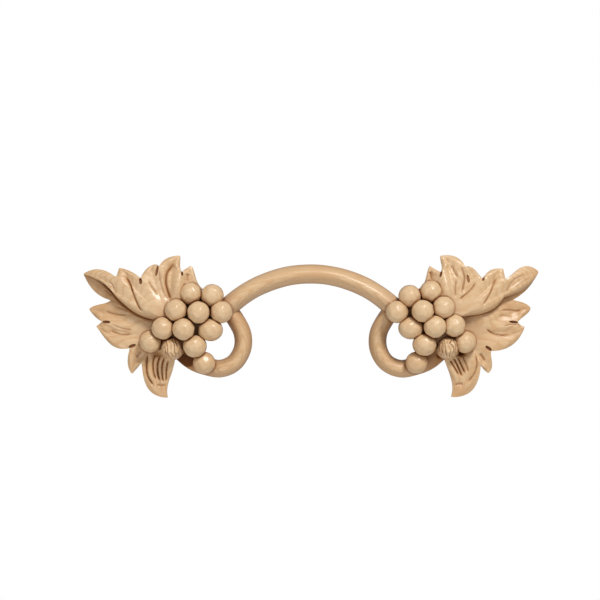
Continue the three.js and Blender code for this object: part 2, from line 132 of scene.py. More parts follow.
LOWER = {
    "root_level": 0.44, "rim_level": 0.2, "reach": 0.42, "power": 1.5, "undercut": 0.38,
    "left": {
        "root": (66.2, -44.5), "start": (64.0, -26.0), "close": (0, 0),
        "lobes": [
            ((99.8, -0.2), (87.8, -18.6), (0, 0), (0.14, 0.17), (0.1, 0), 0.4, 3.6),
            ((97.3, -24.8), (91.6, -33.6), (-0.11, 0.12), (0.08, 0.09), (0.27, 0.04), 1.6, 1.2),
            ((94.1, -37.0), (79.3, -52.2), (0, 0), (0.1, 0.33), (0.01, -0.08), 2.0, 1.4),
            ((78.5, -70.0), (74.1, -62.3), (0.1, 0.2), (0, 0), (0.04, 0.2), 1.6, 0.8),
            ((62.9, -86.99), (59.6, -60.4), (0.18, 0.4), (-0.16, 0.02), (0.3, 0.39), 3.4, 2.6),
        ],
    },
    "right": {
        "root": (66.4, -43.8), "start": (64.0, -26.0), "close": (0, 0),
        "lobes": [
            ((100.2, 1.6), (89.1, -18.3), (0, 0), (0.11, 0.1), (0.1, 0), 0.4, 4.0),
            ((96.8, -24.0), (91.1, -33.9), (0.04, 0.16), (0.16, -0.06), (0.35, 0.02), 1.6, 1.2),
            ((94.1, -37.5), (79.2, -54.2), (-0.14, -0.06), (0.22, 0.22), (0.2, -0.2), 2.0, 1.4),
            ((78.3, -69.6), (74.8, -63.6), (-0.02, 0.24), (0.1, 0.13), (0.07, 0.2), 1.6, 0.8),
            ((62.0, -86.5), (58.7, -60.0), (0.23, 0.39), (-0.19, -0.06), (0.24, 0.38), 3.4, 2.6),
        ],
    },
}

# Carved lines: places along the line, half width and depth in millimetres.
LINES = {
    ("upper", "left"): [
        (((88.3, -5.2), (86.5, -8.8), (85.2, -13.9)), 0.8, 0.9),
        (((81.3, -0.9), (78.8, -7.6), (76.9, -16.1), (75.1, -22.7), (73.3, -26.9)), 1.0, 2.0),
        (((70.9, -5.0), (68.8, -10.2), (66.6, -14.9)), 0.9, 1.0),
        (((66.1, 2.7), (65.7, -3.8), (64.3, -12.2), (61.9, -18.7)), 2.2, 1.0),
        (((59.4, 7.4), (61.4, 3.6), (62.9, -0.4), (63.2, -6.5), (62.5, -11.7), (61.6, -15.8), (60.8, -19.1)),
         1.7, 2.7),
        (((53.6, 0.1), (53.8, -5.7)), 1.6, 1.2),
    ],
    ("lower", "left"): [
        (((94.2, -3.4), (90.8, -7.0), (87.6, -11.8), (85.7, -14.9)), 0.9, 1.5),
        (((90.5, -10.9), (87.2, -15.5)), 0.8, 0.7),
        (((90.3, -26.3), (87.1, -28.0), (84.0, -28.8), (80.0, -28.8)), 1.0, 1.1),
        (((85.1, -22.9), (82.4, -24.5), (79.8, -26.7)), 0.8, 0.6),
        (((87.4, -35.5), (82.9, -38.3), (77.8, -39.7)), 0.9, 0.8),
        (((87.9, -40.0), (85.4, -41.5), (82.6, -42.7), (77.6, -42.5)), 1.0, 1.1),
        (((74.0, -54.1), (76.6, -58.6)), 1.4, 1.4),
        (((71.3, -54.4), (71.9, -65.5), (71.3, -72.2), (68.5, -79.5)), 1.4, 2.5),
        (((68.0, -55.5), (69.1, -62.0), (68.9, -69.0), (67.6, -75.0)), 1.0, 1.9),
        (((65.7, -56.5), (67.0, -63.0), (67.0, -70.0), (66.0, -76.0)), 1.0, 2.2),
        (((63.9, -57.5), (65.0, -64.0), (65.1, -70.5), (64.6, -76.5)), 1.0, 2.2),
        (((62.2, -59.8), (63.0, -65.5), (63.3, -71.0), (63.4, -76.0)), 1.0, 1.9),
        (((67.7, -77.6), (65.7, -78.6), (63.5, -77.9)), 1.5, 1.1),
    ],
    ("upper", "right"): [
        (((94.3, 0.0), (88.8, -4.6), (86.6, -10.0), (84.4, -14.9)), 0.9, 0.7),
        (((81.4, -2.1), (79.6, -8.5), (77.9, -15.1), (74.5, -23.7)), 1.2, 1.5),
        (((72.2, -5.9), (70.1, -10.6), (67.4, -14.7), (64.5, -18.5)), 1.0, 1.3),
        (((65.7, 5.6), (67.2, -3.1), (65.9, -14.7)), 3.2, 1.7),
        (((61.5, 6.0), (62.8, 1.5), (64.5, -3.1)), 1.4, 1.4),
        (((63.6, -4.2), (63.1, -10.0), (63.3, -16.9)), 1.9, 1.2),
        (((52.3, 1.6), (52.7, -1.7), (53.4, -5.6)), 2.0, 1.6),
    ],
    ("lower", "right"): [
        (((96.3, -2.1), (92.5, -5.6), (89.5, -9.2)), 1.0, 0.9),
        (((83.4, -25.9), (86.5, -25.5), (90.1, -26.1), (92.7, -25.5)), 1.0, 1.1),
        (((82.0, -29.7), (85.1, -29.3), (88.6, -29.6)), 0.8, 0.5),
        (((76.6, -38.3), (79.9, -41.8), (83.5, -43.2), (87.7, -43.0)), 1.1, 1.2),
        (((84.6, -37.0), (87.7, -35.8), (90.8, -35.7)), 0.8, 0.6),
        (((74.3, -55.6), (76.6, -61.4)), 1.4, 1.4),
        (((72.3, -56.0), (72.9, -63.7), (71.6, -70.7), (68.4, -76.8)), 1.4, 1.6),
        (((61.0, -60.0), (63.0, -65.5), (65.3, -71.5)), 1.0, 2.0),
        (((62.6, -58.5), (64.6, -65.0), (66.6, -72.5)), 1.1, 2.4),
        (((64.4, -57.9), (66.1, -63.7), (67.9, -70.2)), 1.0, 2.0),
        (((66.7, -57.3), (68.3, -63.6), (69.3, -69.9)), 0.9, 1.2),
        (((63.3, -78.4), (64.8, -77.5), (67.0, -77.3)), 1.5, 1.1),
    ],
}

# Swells of a leaf's surface: place, radii across and up in millimetres, height in millimetres.
SWELLS = {
    ("upper", "left"): [((57.6, -9.0), (4.4, 8.5), 2.6), ((69.0, -23.0), (9.5, 8.0), 2.4)],
    ("upper", "right"): [((59.6, -11.3), (4.8, 8.5), 2.4), ((74.0, -21.8), (9.5, 8.0), 2.4)],
    ("lower", "left"): [((74.5, -36.0), (8.0, 7.0), 0.8), ((66.8, -56.6), (3.4, 1.7), -3.5)],
    ("lower", "right"): [((75.0, -31.5), (9.0, 6.5), 2.8), ((66.0, -56.2), (3.4, 1.8), -5.0)],
}

# Eyes: slots where two lobes meet, as two ends, a width in millimetres and the floor's level.
EYES = {
    "left": [
        ((56.2, 2.2), (56.0, -1.4), 1.6, 0.585),
        ((66.6, 5.6), (67.5, -1.4), 1.8, 0.575),
        ((74.3, -3.2), (74.1, -7.3), 2.3, 0.59),
        ((91.2, -33.6), (88.0, -33.9), 1.9, 0.335),
        ((79.6, -51.5), (76.7, -49.7), 2.3, 0.4),
    ],
    "right": [
        ((57.2, 2.0), (56.5, -2.4), 1.6, 0.585),
        ((68.5, -1.0), (69.1, -6.0), 2.1, 0.585),
        ((75.6, -2.2), (75.2, -5.0), 1.8, 0.58),
        ((91.0, -34.0), (87.3, -33.5), 1.7, 0.335),
        ((79.3, -53.6), (76.8, -50.8), 2.3, 0.4),
    ],
}

# An eye is cut by an oval prism: points round it, its half length in slot lengths, and its top in depths.
EYE_POINTS = 14
EYE_HALF = 0.55
EYE_TOP = 1.1

# Painted shadow in recesses, below this level: place (left of the middle is minus), radii in millimetres and
# share.
PAINTED_SHADOW_TOP = 14 * MM
PAINTED_SHADOWS = [
    ((-54.4, -61.6), (5.4, 4.4), 1.7),
    ((-58.0, -57.0), (4.0, 4.0), 0.5),
    ((66.0, -55.6), (3.4, 2.6), 0.5),
    ((56.4, -58.4), (3.2, 3.0), 0.7),
]

# The block left standing behind the leaves' roots and behind the long tip: rings of places and a level.
BACK_FILLINGS = (
    (((57, -25), (66, -22), (74, -31), (75, -42), (69, -50), (62, -58), (57, -52)), 0.2),
    (((88.6, -9.5), (91.5, -4.2), (95.5, -1.6), (98.1, -1.6), (96.8, -4.7), (92.2, -8.9)), 0.1),
)

SIDES = (("left", -1, 0), ("right", 1, 1))

# The vine. The bow's reach is a share of the half width, its drop a share of the height. Levels are shares of
# the depth: at the bow's middle and ends, along a crook, and in its tail, which starts part way along it.
BOW_REACH = 0.389
BOW_DROP = 0.275
BOW_LEVELS = (0.5, 0.58)
LOOP_LEVEL = 0.4
TAIL_LEVELS = {"left": 0.13, "right": 0.24}
TAIL_START = 0.6
TAIL_RUN = 0.3
TAIL_SWELL = 0.1

# A vine's section: its shoulder as a share of its level, the shares of its points on a wall and on the dome,
# and the hand's wobble along it.
VINE_SHOULDER = 0.34
WALL_SHARE = 0.12
DOME_SHARE = 0.5
WOBBLE = 0.35 * MM
WOBBLES_A_METRE = 60

# The ground between the grapes, and how a grape stands on it: its foot's level is a share of the depth, its
# hidden half tapers a little and closes over the last share of its turn, and its radius varies a little.
LOW_GROUND_LEVEL = 0.2
GROUND_CLEARANCE = 1.2 * MM
GRAPE_FOOT = 0.12
GRAPE_TAPER = 0.12
GRAPE_CLOSING = 0.14
GRAPE_SPREAD = 0.025

# Knife flats on a grape: how many, how unevenly they lie, how near the middle they are cut, in radii, and the
# cosine within which a flat counts.
FLATS = 34
FLAT_SHAKE = 0.16
FLAT_NEAR = (0.935, 0.968)
FLAT_REACH = 0.5

# The knob: its radius in grape radii, the strokes across it and along it, how they sway and break, and their
# depth and unevenness in millimetres.
KNOB_RADIUS = 1.08
KNOB_SQUARENESS = 0.32
KNOB_DOME = 0.1
KNOB_FOOT = 0.35
KNOB_POWER = 0.75
STROKES = (4.9, 1.0)
SWAY_SCALE = (2.2, 2.6)
BREAK_SCALE = (5.0, 3.2, 2.0)
STROKE_SWAY = 0.8
STROKE_BREAK = 0.5
STROKE_DEPTH = 1.6
STROKE_MIDDLE = 0.62
STROKE_UNEVEN = 0.9
STROKE_RUN = 1.6

# A lobe: how full its edge is, how far its vein bends, how far and how fast its mid line is drawn to the
# middle, how far it shrinks under its edge, the longest share of it that may be joined to its neighbours, its
# edge's thickness and drop, how blunt its tip is and how far back, and how its crown starts and fades.
EDGE_FULLNESS = 0.02
VEIN_SWAY = 0.5
MID_PULL = 0.6
MID_PULL_RATE = 3
UNDERCUT_PULL = 0.08
LONGEST_NECK = 0.8
LEAF_EDGE = 4.2 * MM
EDGE_DROP = 0.8 * MM
TIP_RADIUS = 0.16 * MM
TIP_REACH = 1.1 * MM
CROWN_START = 0.3
CROWN_POWER = 1.3
CROWN_FADE_RATE = 1.1
OPENING_RATE = 1.6

# The hem of the upper leaf: from a share of its seam to a share of the long tip's edge, rolled down to stand
# a step above the lower leaf, with a trench along it there. Fades are rates at its start and its end.
HEM_START = 0.12
HEM_END = 0.4
HEM_LEAN = 0.25
HEM_ROLL_START = 0.55
HEM_STEP = {"left": 1.7 * MM, "right": 0.8 * MM}
HEM_STEP_FADE_START = 0.4
HEM_STEP_FADE_RUN = 1.1
HEM_SETTLE_RATE = 3
HEM_TRENCH = {"left": 1.5 * MM, "right": 0.2 * MM}
HEM_TRENCH_WIDTH = 1.5 * MM
HEM_TRENCH_FLOOR = 1.25
HEM_TRENCH_FADES = (6, 4)
# Painted shadow along the hem, darker on the left where the hem faces away from the key light: its share on
# each side, its half width and its fades.
HEM_SHADOW = {"left": 0.95, "right": 0.45}
HEM_SHADOW_WIDTH = 0.6 * MM
HEM_SHADOW_FADES = (6, 3)

# A carved line: how fast it gains depth from its ends, its share there, its V cut and the dish round it.
LINE_FADE_RATE = 5
LINE_END_SHARE = 0.12
CUT_SHARE = 0.8
CUT_POWER = 1.2
DISH_SHARE = 0.25
DISH_WIDTH = 2.2

# Painted shade in a line: its half width and its share, each with what a millimetre of the line's own size
# adds.
LINE_SHADE_WIDTH = (0.4, 0.1)
LINE_SHADE_SHARE = (0.25, 0.34)

# Painted shade on the floors of the eyes and round the feet of the grapes. The back stays bare over a thin
# band, and its faces stay flat shaded.
EYE_SHADE = 0.9
EYE_SHADE_REACH = 0.6
EYE_FLOOR_BAND = 0.1 * MM
FOOT_SHADE = 0.7
FOOT_SHADE_WIDTH = 0.8 * MM
FOOT_SHADE_TOP = 0.8
BACK_BAND = 0.5 * MM
BACK_FLATNESS = 0.01 * MM

# Mesh fineness. A lobe's free rows crowd towards its tip by a power.
INNER_ROWS = 46
ROW_PITCH = 0.6 * MM
ROW_CROWDING = 1.35
COLUMN_PITCH = 0.46 * MM
FEWEST = 20
VINE_AROUND = 28
BOW_STEPS = 110
LOOP_STEPS = 80
WELD = 2e-6
SLIVER = 1e-7
LAST_WELD = 1e-6
SMOOTH_ANGLE = 38

# Rays that feel out the hollows for the painted shade: how many, where they start in millimetres, how far the
# long and the short ones reach, and the power by which a hit counts less when it is farther off. A carved
# line's painted shade stays off what hardly faces out.
RAYS = 22
RAY_START = 0.08
FAR = 9 * MM
NEAR = 2.6 * MM
FAR_POWER = 0.7
FACING_START = 0.1
FACING_RUN = 0.3
GOLDEN_ANGLE = math.pi * (3 - math.sqrt(5))

# Tones besides the ones a user would change: painted shade near the wall, painted light on the highest forms,
# pores, worn crests, and the studio paper.
PAINTED_SHADE_TONE = "#b6895a"
PAINTED_LIGHT_TONE = "#dcc29c"
PORE_TONE = "#b98457"
WORN_TONE = "#f0d5b0"
PAPER = "#f2f1ee"

# The stage: name, place, size and power of each light, all aimed at the same point.
LIGHTS = (
    ("key", (0.62, -1.55, 1.5), 0.5, 37.5),
    ("fill", (-1.1, -1.3, -0.2), 1.3, 4.6),
    ("under", (0.0, -1.2, -0.9), 1.0, 1.8),
)
LIGHTS_AIM = (0, -0.015, -0.035)
SURROUND_LIGHT = 0.4
SURROUND_TINT = (1.0, 0.98, 0.95, 1)
FLOOR_RADIUS = 0.8
FLOOR_LEVEL = -0.42
CAMERA_AT = (-0.00703, -1.6, -0.0175)
CAMERA_LENS = 142.2
CAMERA_SENSOR = 36


class OnlaySizes(bpy.types.PropertyGroup):
    width: bpy.props.FloatProperty(
        name="Width", description="Tip to tip across both leaves", default=0.3048, unit="LENGTH")
    height: bpy.props.FloatProperty(
        name="Height", description="Lowest leaf tip to highest", default=0.09525, unit="LENGTH")
    depth: bpy.props.FloatProperty(
        name="Depth", description="Flat back to the highest grape", default=0.0381, unit="LENGTH")
    bow_thickness: bpy.props.FloatProperty(
        name="Bow thickness", description="Vine of the bow at its middle", default=0.0129, unit="LENGTH")
    bow_end_thickness: bpy.props.FloatProperty(
        name="Bow end thickness", description="Vine of the bow at its ends", default=0.0136, unit="LENGTH")
    loop_thickness: bpy.props.FloatProperty(
        name="Crook thickness", description="Vine of the two crooks", default=0.0118, unit="LENGTH")
    grape_radius: bpy.props.FloatProperty(
        name="Grape radius", description="Radius of a grape", default=0.00755, unit="LENGTH")


class OnlayFinish(bpy.types.PropertyGroup):
    wood: bpy.props.StringProperty(
        name="Wood", description="Colour of the open wood, sRGB hex", default="#cfab80")
    pale: bpy.props.StringProperty(
        name="Pale grain", description="Colour of the pale grain, sRGB hex", default="#d8b890")
    warm: bpy.props.StringProperty(
        name="Warm wood", description="Colour of the warmer patches, sRGB hex", default="#c69a6c")
    # Colour of the painted shade in the hollows, partly gathered finish.
    hollow_shade_and_finish: bpy.props.StringProperty(
        name="Hollows", description="Colour of the finish in the hollows, sRGB hex", default="#b57f4e")
    # Colour of the painted shade in the cut lines, crevices, hems, eyes and round the grapes' feet.
    line: bpy.props.StringProperty(
        name="Carved lines", description="Colour of the stain in cut lines, sRGB hex", default="#8a4f1e")
    # Colour of the painted shade in the deepest recesses.
    deep: bpy.props.StringProperty(
        name="Deep hollows", description="Colour of the deepest recesses, sRGB hex", default="#572806")
    roughness: bpy.props.FloatProperty(
        name="Roughness", description="Roughness of the satin finish", default=0.5, subtype="FACTOR")


# Helpers for placing and selecting.

def deselect():
    if bpy.context.object and bpy.context.object.mode != "OBJECT":
        bpy.ops.object.mode_set(mode="OBJECT")
    for item in bpy.context.view_layer.objects:
        item.select_set(False)


def make_active(item):
    deselect()
    item.select_set(True)
    bpy.context.view_layer.objects.active = item


def place(pair, sizes):
    return np.array([pair[0] / 100 * sizes.width / 2, pair[1] / 100 * sizes.height])


def smooth(t):
    u = np.clip(t, 0, 1)
    return u * u * (3 - 2 * u)


def read_points(mesh):
    points = np.empty(len(mesh.vertices) * 3)
    mesh.vertices.foreach_get("co", points)
    return points.reshape(-1, 3)


def write_points(mesh, points):
    mesh.vertices.foreach_set("co", np.asarray(points, dtype=float).ravel())
    mesh.update()


def finished_form(form, points, name):
    """Puts the form's points in place, turns its faces outwards and names it."""
    write_points(form.data, points)
    make_active(form)
    bpy.ops.object.mode_set(mode="EDIT")
    bpy.ops.mesh.select_all(action="SELECT")
    bpy.ops.mesh.normals_make_consistent(inside=False)
    bpy.ops.object.mode_set(mode="OBJECT")
    form.name = name
    return form


def edge_points(start, end, bulge, u):
    """Points of an edge from one place to another; bulge moves it out near its start and near its end."""
    along = end - start
    length = np.hypot(*along)
    out = np.array([-along[1], along[0]]) / max(length, TINY)
    lift = length * (bulge[0] * 3 * u * (1 - u) ** 2 + bulge[1] * 3 * u * u * (1 - u))
    return start + u[..., None] * along + lift[..., None] * out


def outward(bulge):
    """The same bulge for an edge travelled the other way."""
    return (-bulge[1], -bulge[0])


def fuller(bulge):
    return [b + EDGE_FULLNESS for b in bulge]


def smooth_line(points, count):
    """A line through the points, evenly divided by a Catmull-Rom spline."""
    ends = [2 * points[0] - points[1], *points, 2 * points[-1] - points[-2]]
    made = []
    for u in np.linspace(0, len(points) - 1, count):
        i = min(int(u), len(points) - 2)
        f = u - i
        a, b, c, d = ends[i:i + 4]
        made.append(0.5 * (2 * b + (c - a) * f + (2 * a - 5 * b + 4 * c - d) * f * f
                           + (3 * b - a - 3 * c + d) * f ** 3))
    return np.array(made)


def line_distance(points, line):
    """Distance of each point from a line, and the share of the line's length at its foot."""
    best = np.full(len(points), 1e9)
    share = np.zeros(len(points))
    count = len(line) - 1
    for i in range(count):
        a, b = line[i], line[i + 1]
        along = b - a
        f = np.clip(((points - a) @ along) / (along @ along), 0, 1)
        d = np.hypot(*(points - a - f[:, None] * along).T)
        near = d < best
        best = np.where(near, d, best)
        share = np.where(near, (i + f) / count, share)
    return best, share


def near_line(points, places, sizes):
    """Distance of each point from a carved line, and how far the line has gained its depth there."""
    line = smooth_line([place(p, sizes) for p in places], 8 * len(places))
    distance, share = line_distance(points, line)
    return distance, smooth(np.minimum(share, 1 - share) * LINE_FADE_RATE + LINE_END_SHARE)


def near_hem(points, which, rates, sizes):
    """Distance of each point from the upper leaf's hem, faded out at both ends of it by the rates."""
    distance, share = line_distance(points, hem_line(which, sizes))
    return distance, smooth(share * rates[0]) * smooth((1 - share) * rates[1])


def bell(distance, width):
    return np.exp(-((distance / width) ** 2))


def carve_lines(points, heights, lines, sizes):
    """V cuts that run out at both ends, each in a slight dish."""
    cut = np.zeros(len(points))
    for places, half, depth in lines:
        distance, fade = near_line(points, places, sizes)
        groove = np.clip(1 - distance / (half * MM), 0, 1) ** CUT_POWER
        dish = DISH_SHARE * bell(distance, DISH_WIDTH * half * MM)
        cut = np.maximum(cut, depth * MM * fade * (CUT_SHARE * groove + dish))
    return heights - cut


def painted_line_shade(points, sizes):
    """How much painted shade lies in the carved lines, painted shadow along the hems and painted shade on the
    eyes' floors at each point of the piece.
    """
    painted_shade = np.zeros(len(points))
    for which, sign, _ in SIDES:
        flat = points[:, [0, 2]] * np.array([sign, 1])
        for layer in ("upper", "lower"):
            for places, half, depth in LINES[layer, which]:
                distance, fade = near_line(flat, places, sizes)
                width = (LINE_SHADE_WIDTH[0] + LINE_SHADE_WIDTH[1] * half) * MM
                share = min(1, LINE_SHADE_SHARE[0] + LINE_SHADE_SHARE[1] * depth)
                painted_shade = np.maximum(painted_shade, share * fade * bell(distance, width))
        distance, fade = near_hem(flat, which, HEM_SHADOW_FADES, sizes)
        painted_shade = np.maximum(painted_shade, HEM_SHADOW[which] * fade * bell(distance, HEM_SHADOW_WIDTH))
        for a, b, width, floor in EYES[which]:
            distance = line_distance(flat, np.array([place(a, sizes), place(b, sizes)]))[0]
            on_floor = np.abs(points[:, 1] + floor * sizes.depth) < EYE_FLOOR_BAND
            painted_shade = np.maximum(painted_shade, EYE_SHADE * (on_floor & (distance < EYE_SHADE_REACH * width * MM)))
    return painted_shade


def painted_foot_shade(points, sizes):
    """How much painted shade lies round the foot of each grape."""
    painted_shade = np.zeros(len(points))
    for _, sign, index in SIDES:
        for grape in GRAPES:
            middle = place(grape["at"][index], sizes) * np.array([sign, 1])
            away = (points[:, [0, 2]] - middle) / np.array([grape["wide"], 1])
            distance = np.hypot(*away.T) - sizes.grape_radius
            below = points[:, 1] > FOOT_SHADE_TOP * sizes.grape_radius - grape["top"] * sizes.depth
            painted_shade = np.maximum(painted_shade, FOOT_SHADE * bell(distance, FOOT_SHADE_WIDTH) * below)
    return painted_shade


def raise_swells(points, heights, swells, sizes):
    for at, radii, height in swells:
        away = (points - place(at, sizes)) / (np.array(radii) * MM)
        heights = heights + height * MM * np.exp(-(away ** 2).sum(1))
    return heights


# The forms. Each is one closed mesh object; the carving is their union.

def hem_line(which, sizes):
    """The upper leaf's hem over the lower leaf: from near the root to its last notch and towards the tip."""
    shape = UPPER[which]
    tip, notch, _, bulge = shape["lobes"][-1][:4]
    root, after, tip = place(shape["root"], sizes), place(notch, sizes), place(tip, sizes)
    hem = edge_points(root, after, outward(shape["close"]), np.linspace(HEM_START, 1, 30))
    free = edge_points(tip, after, fuller(bulge), np.linspace(1, HEM_END, 16)[1:])
    return np.concatenate([hem, free])


def lobe_points(leaf, which, k, sizes, ground=None):
    """Places of a lobe's front, of the ring under its edge and of the ring on the back, row by column."""
    shape = leaf[which]
    lobes = shape["lobes"]
    last = k == len(lobes) - 1
    tip, notch, before_bulge, after_bulge, vein, crown, lift = lobes[k]
    root = place(shape["root"], sizes)
    before = place(lobes[k - 1][1] if k else shape["start"], sizes)
    after = place(notch, sizes)
    tip = place(tip, sizes)
    length = np.hypot(*(tip - root))
    neck = min(LONGEST_NECK, (np.hypot(*(before - root)) + np.hypot(*(after - root))) / 2 / length)
    bend = [v * VEIN_SWAY for v in vein]
    hem = outward(shape["close"]) if last else (0, 0)

    free_length = max(np.hypot(*(tip - before)), np.hypot(*(tip - after)))
    free_rows = max(FEWEST, round(free_length / ROW_PITCH))
    columns = 2 * max(FEWEST // 2, round(np.hypot(*(after - before)) / COLUMN_PITCH / 2))
    rows = INNER_ROWS + free_rows
    i, t = np.meshgrid(np.arange(rows + 1), np.linspace(-1, 1, columns + 1), indexing="ij")
    inner = i <= INNER_ROWS
    u = np.where(inner, i / INNER_ROWS, 1 - np.clip(1 - (i - INNER_ROWS) / free_rows, 0, 1) ** ROW_CROWDING)
    free = np.where(inner, 0.0, u)
    span = np.where(inner, neck * u, neck + (1 - neck) * u)
    near_before = (t < 0)[..., None]

    def spine(s):
        """The mid line: straight at the root, so that no lobe folds there, and bent beyond the neck."""
        bent = edge_points(root, tip, bend, s)
        share = np.minimum(1, s / neck)
        chord = root + (edge_points(root, tip, bend, np.array(neck)) - root) * share[..., None]
        return np.where((share < 1)[..., None], chord + (bent - chord) * share[..., None] ** 2, bent)

    def seam(s):
        return np.where(near_before, edge_points(root, before, (0, 0), s), edge_points(root, after, hem, s))

    edge_before = edge_points(before, tip, fuller(before_bulge), u)
    edge_after = edge_points(tip, after, fuller(after_bulge), 1 - u)
    centred = (edge_before + edge_after) / 2 - spine(span)
    centred = centred * (MID_PULL * smooth(MID_PULL_RATE * free))[..., None]
    across = np.where(near_before, edge_before, edge_after) - spine(span) - centred
    from_tip = np.hypot(*np.moveaxis(tip - spine(span), -1, 0))
    blunt = np.sqrt(2 * TIP_RADIUS * from_tip) * np.exp(-from_tip / TIP_REACH) * (~inner)
    wide = np.hypot(*np.moveaxis(across, -1, 0))
    across = across * (1 + blunt / np.maximum(wide, 1e-6))[..., None]

    def spread(cut):
        """The lobe's places, drawn in by a share of its width as an undercut does."""
        shrink = 1 - UNDERCUT_PULL * cut
        mid = spine(span * shrink) + centred
        half = across * (1 - cut * np.minimum(1, 2 * u))[..., None]
        whole = np.ones_like(u)
        kept = seam(whole * shrink) - spine(whole * neck * shrink) - seam(whole) + spine(whole * neck)
        outer = mid + (half + kept * (1 - u)[..., None]) * np.abs(t)[..., None]
        inside = mid + (seam(u * shrink) - mid) * np.abs(t)[..., None]
        return np.where(inner[..., None], inside, outer)

    places = spread(0)
    flat = places.reshape(-1, 2)
    reach = leaf["reach"] * sizes.width / 2
    fall = np.minimum(1, np.hypot(*(flat - root).T) / reach).reshape(t.shape) ** leaf["power"]
    base = sizes.depth * (leaf["root_level"] + (leaf["rim_level"] - leaf["root_level"]) * fall)
    ramp = smooth(np.where(inner, i / INNER_ROWS, 1.0))
    swelling = smooth(np.where(inner, (i / INNER_ROWS - CROWN_START) / (1 - CROWN_START), 1.0))
    rim = (free > 0) | ((t < 0) & (k == 0)) | ((t > 0) & last)
    opened = np.where(rim, ramp, 0)
    sweep = np.abs(t) * (math.pi / 2) * (1 + smooth(OPENING_RATE * free))
    beside = np.where(t < 0, lobes[max(k - 1, 0)][5], lobes[min(k + 1, len(lobes) - 1)][5])
    crowns = crown + ((crown + beside) / 2 - crown) * np.abs(t)
    rise = crowns * MM * np.sin(sweep).clip(0) ** CROWN_POWER * swelling
    rise *= 1 - smooth(CROWN_FADE_RATE * free)
    rise += lift * MM * free ** 2
    rise -= EDGE_DROP * opened * (np.abs(t) ** 3 * (1 - free ** 4) + free ** 4)
    layer = "upper" if leaf is UPPER else "lower"
    heights = raise_swells(flat, (base + rise).ravel(), SWELLS[layer, which], sizes)
    heights = carve_lines(flat, heights, LINES[layer, which], sizes).reshape(t.shape)
    if last and ground:
        heights = settle(places, heights, t, free, ground, HEM_STEP[which])
    if not ground:
        distance, fade = near_hem(flat, which, HEM_TRENCH_FADES, sizes)
        trench = HEM_TRENCH[which] * fade * np.clip(HEM_TRENCH_FLOOR - distance / HEM_TRENCH_WIDTH, 0, 1)
        heights = heights - trench.reshape(t.shape)
    front = np.stack([places[..., 0], -heights, places[..., 1]], axis=-1)
    lower = front + np.array([0, LEAF_EDGE, 0])
    lower[..., 1] = np.minimum(lower[..., 1], -MM)
    inset = spread(leaf["undercut"])
    back = np.stack([inset[..., 0], np.zeros_like(t), inset[..., 1]], axis=-1)
    return front, lower, back


def settle(places, heights, t, free, ground, height):
    """Rolls the hem of the upper leaf down to stand one step above the lower leaf under it."""
    rows = np.arange(len(heights))
    found, drops = [], []
    for row in rows:
        x, z = places[row, -1]
        hit = ground.ray_cast(Vector((x, -1.0, z)), Vector((0, 1, 0)))
        if hit[0] is not None:
            run = min(row / INNER_ROWS, 1) + free[row, -1]
            step = height * (1 - float(smooth((run - HEM_STEP_FADE_START) / HEM_STEP_FADE_RUN)))
            found.append(row)
            drops.append(-hit[0].y + step - heights[row, -1])
    fade = smooth(HEM_SETTLE_RATE * rows / INNER_ROWS) * (1 - free[:, -1] ** 4)
    drop = (np.interp(rows, found, drops) * fade)[:, None]
    roll = 1 - np.sqrt(1 - np.clip((t - HEM_ROLL_START) / (1 - HEM_ROLL_START), 0, 1) ** 2)
    return heights + drop * (HEM_LEAN * smooth(np.clip(t, 0, 1)) + (1 - HEM_LEAN) * roll)


def lobe_grid(front, sign):
    """A grid laid over one lobe's front."""
    rows, columns = front.shape[0] - 1, front.shape[1] - 1
    bpy.ops.mesh.primitive_grid_add(x_subdivisions=columns, y_subdivisions=rows, size=1)
    grid = bpy.context.object
    flat = read_points(grid.data)
    j = np.rint((flat[:, 0] + 0.5) * columns).astype(int)
    i = np.rint((flat[:, 1] + 0.5) * rows).astype(int)
    points = front[i, j] * np.array([sign, 1, 1])
    write_points(grid.data, points)
    return grid


def ground_of(form, sign):
    """The lower leaf as a surface to settle the upper leaf on, always on the right-hand side."""
    points = read_points(form.data) * np.array([sign, 1, 1])
    return BVHTree.FromPolygons([Vector(p) for p in points], [tuple(p.vertices) for p in form.data.polygons])


def leaf_form(leaf, side, sizes, ground=None):
    """One leaf: its lobes' grids joined, the rim drawn down to the edge and then back to the wall plane."""
    which, sign, _ = side
    count = len(leaf[which]["lobes"])
    rings = [lobe_points(leaf, which, k, sizes, ground) for k in range(count)]
    deselect()
    grids = [lobe_grid(front, sign) for front, _, _ in rings]
    deselect()
    for grid in grids:
        grid.select_set(True)
    bpy.context.view_layer.objects.active = grids[0]
    bpy.ops.object.join()
    form = bpy.context.object
    bpy.ops.object.mode_set(mode="EDIT")
    bpy.ops.mesh.select_all(action="SELECT")
    bpy.ops.mesh.remove_doubles(threshold=WELD)
    bpy.ops.mesh.dissolve_degenerate(threshold=SLIVER)
    bpy.ops.mesh.select_all(action="SELECT")
    bpy.ops.mesh.region_to_loop()
    mirror = np.array([sign, 1, 1])
    fronts = np.concatenate([front.reshape(-1, 3) for front, _, _ in rings]) * mirror
    lowers = np.concatenate([lower.reshape(-1, 3) for _, lower, _ in rings]) * mirror
    backs = np.concatenate([back.reshape(-1, 3) for _, _, back in rings]) * mirror
    known = fronts
    for ring in (lowers, backs):
        bpy.ops.mesh.extrude_edges_move()
        bpy.ops.object.mode_set(mode="OBJECT")
        tree = KDTree(len(known))
        for index, point in enumerate(known):
            tree.insert(point, index)
        tree.balance()
        for vertex in form.data.vertices:
            if vertex.select:
                vertex.co = ring[tree.find(vertex.co)[1]]
        form.data.update()
        known = ring
        bpy.ops.object.mode_set(mode="EDIT")
    bpy.ops.mesh.edge_face_add()
    bpy.ops.mesh.select_all(action="SELECT")
    bpy.ops.mesh.remove_doubles(threshold=WELD)
    bpy.ops.object.mode_set(mode="OBJECT")
    layer = "upper" if leaf is UPPER else "lower"
    return finished_form(form, read_points(form.data), f"{layer}_leaf_{which}")


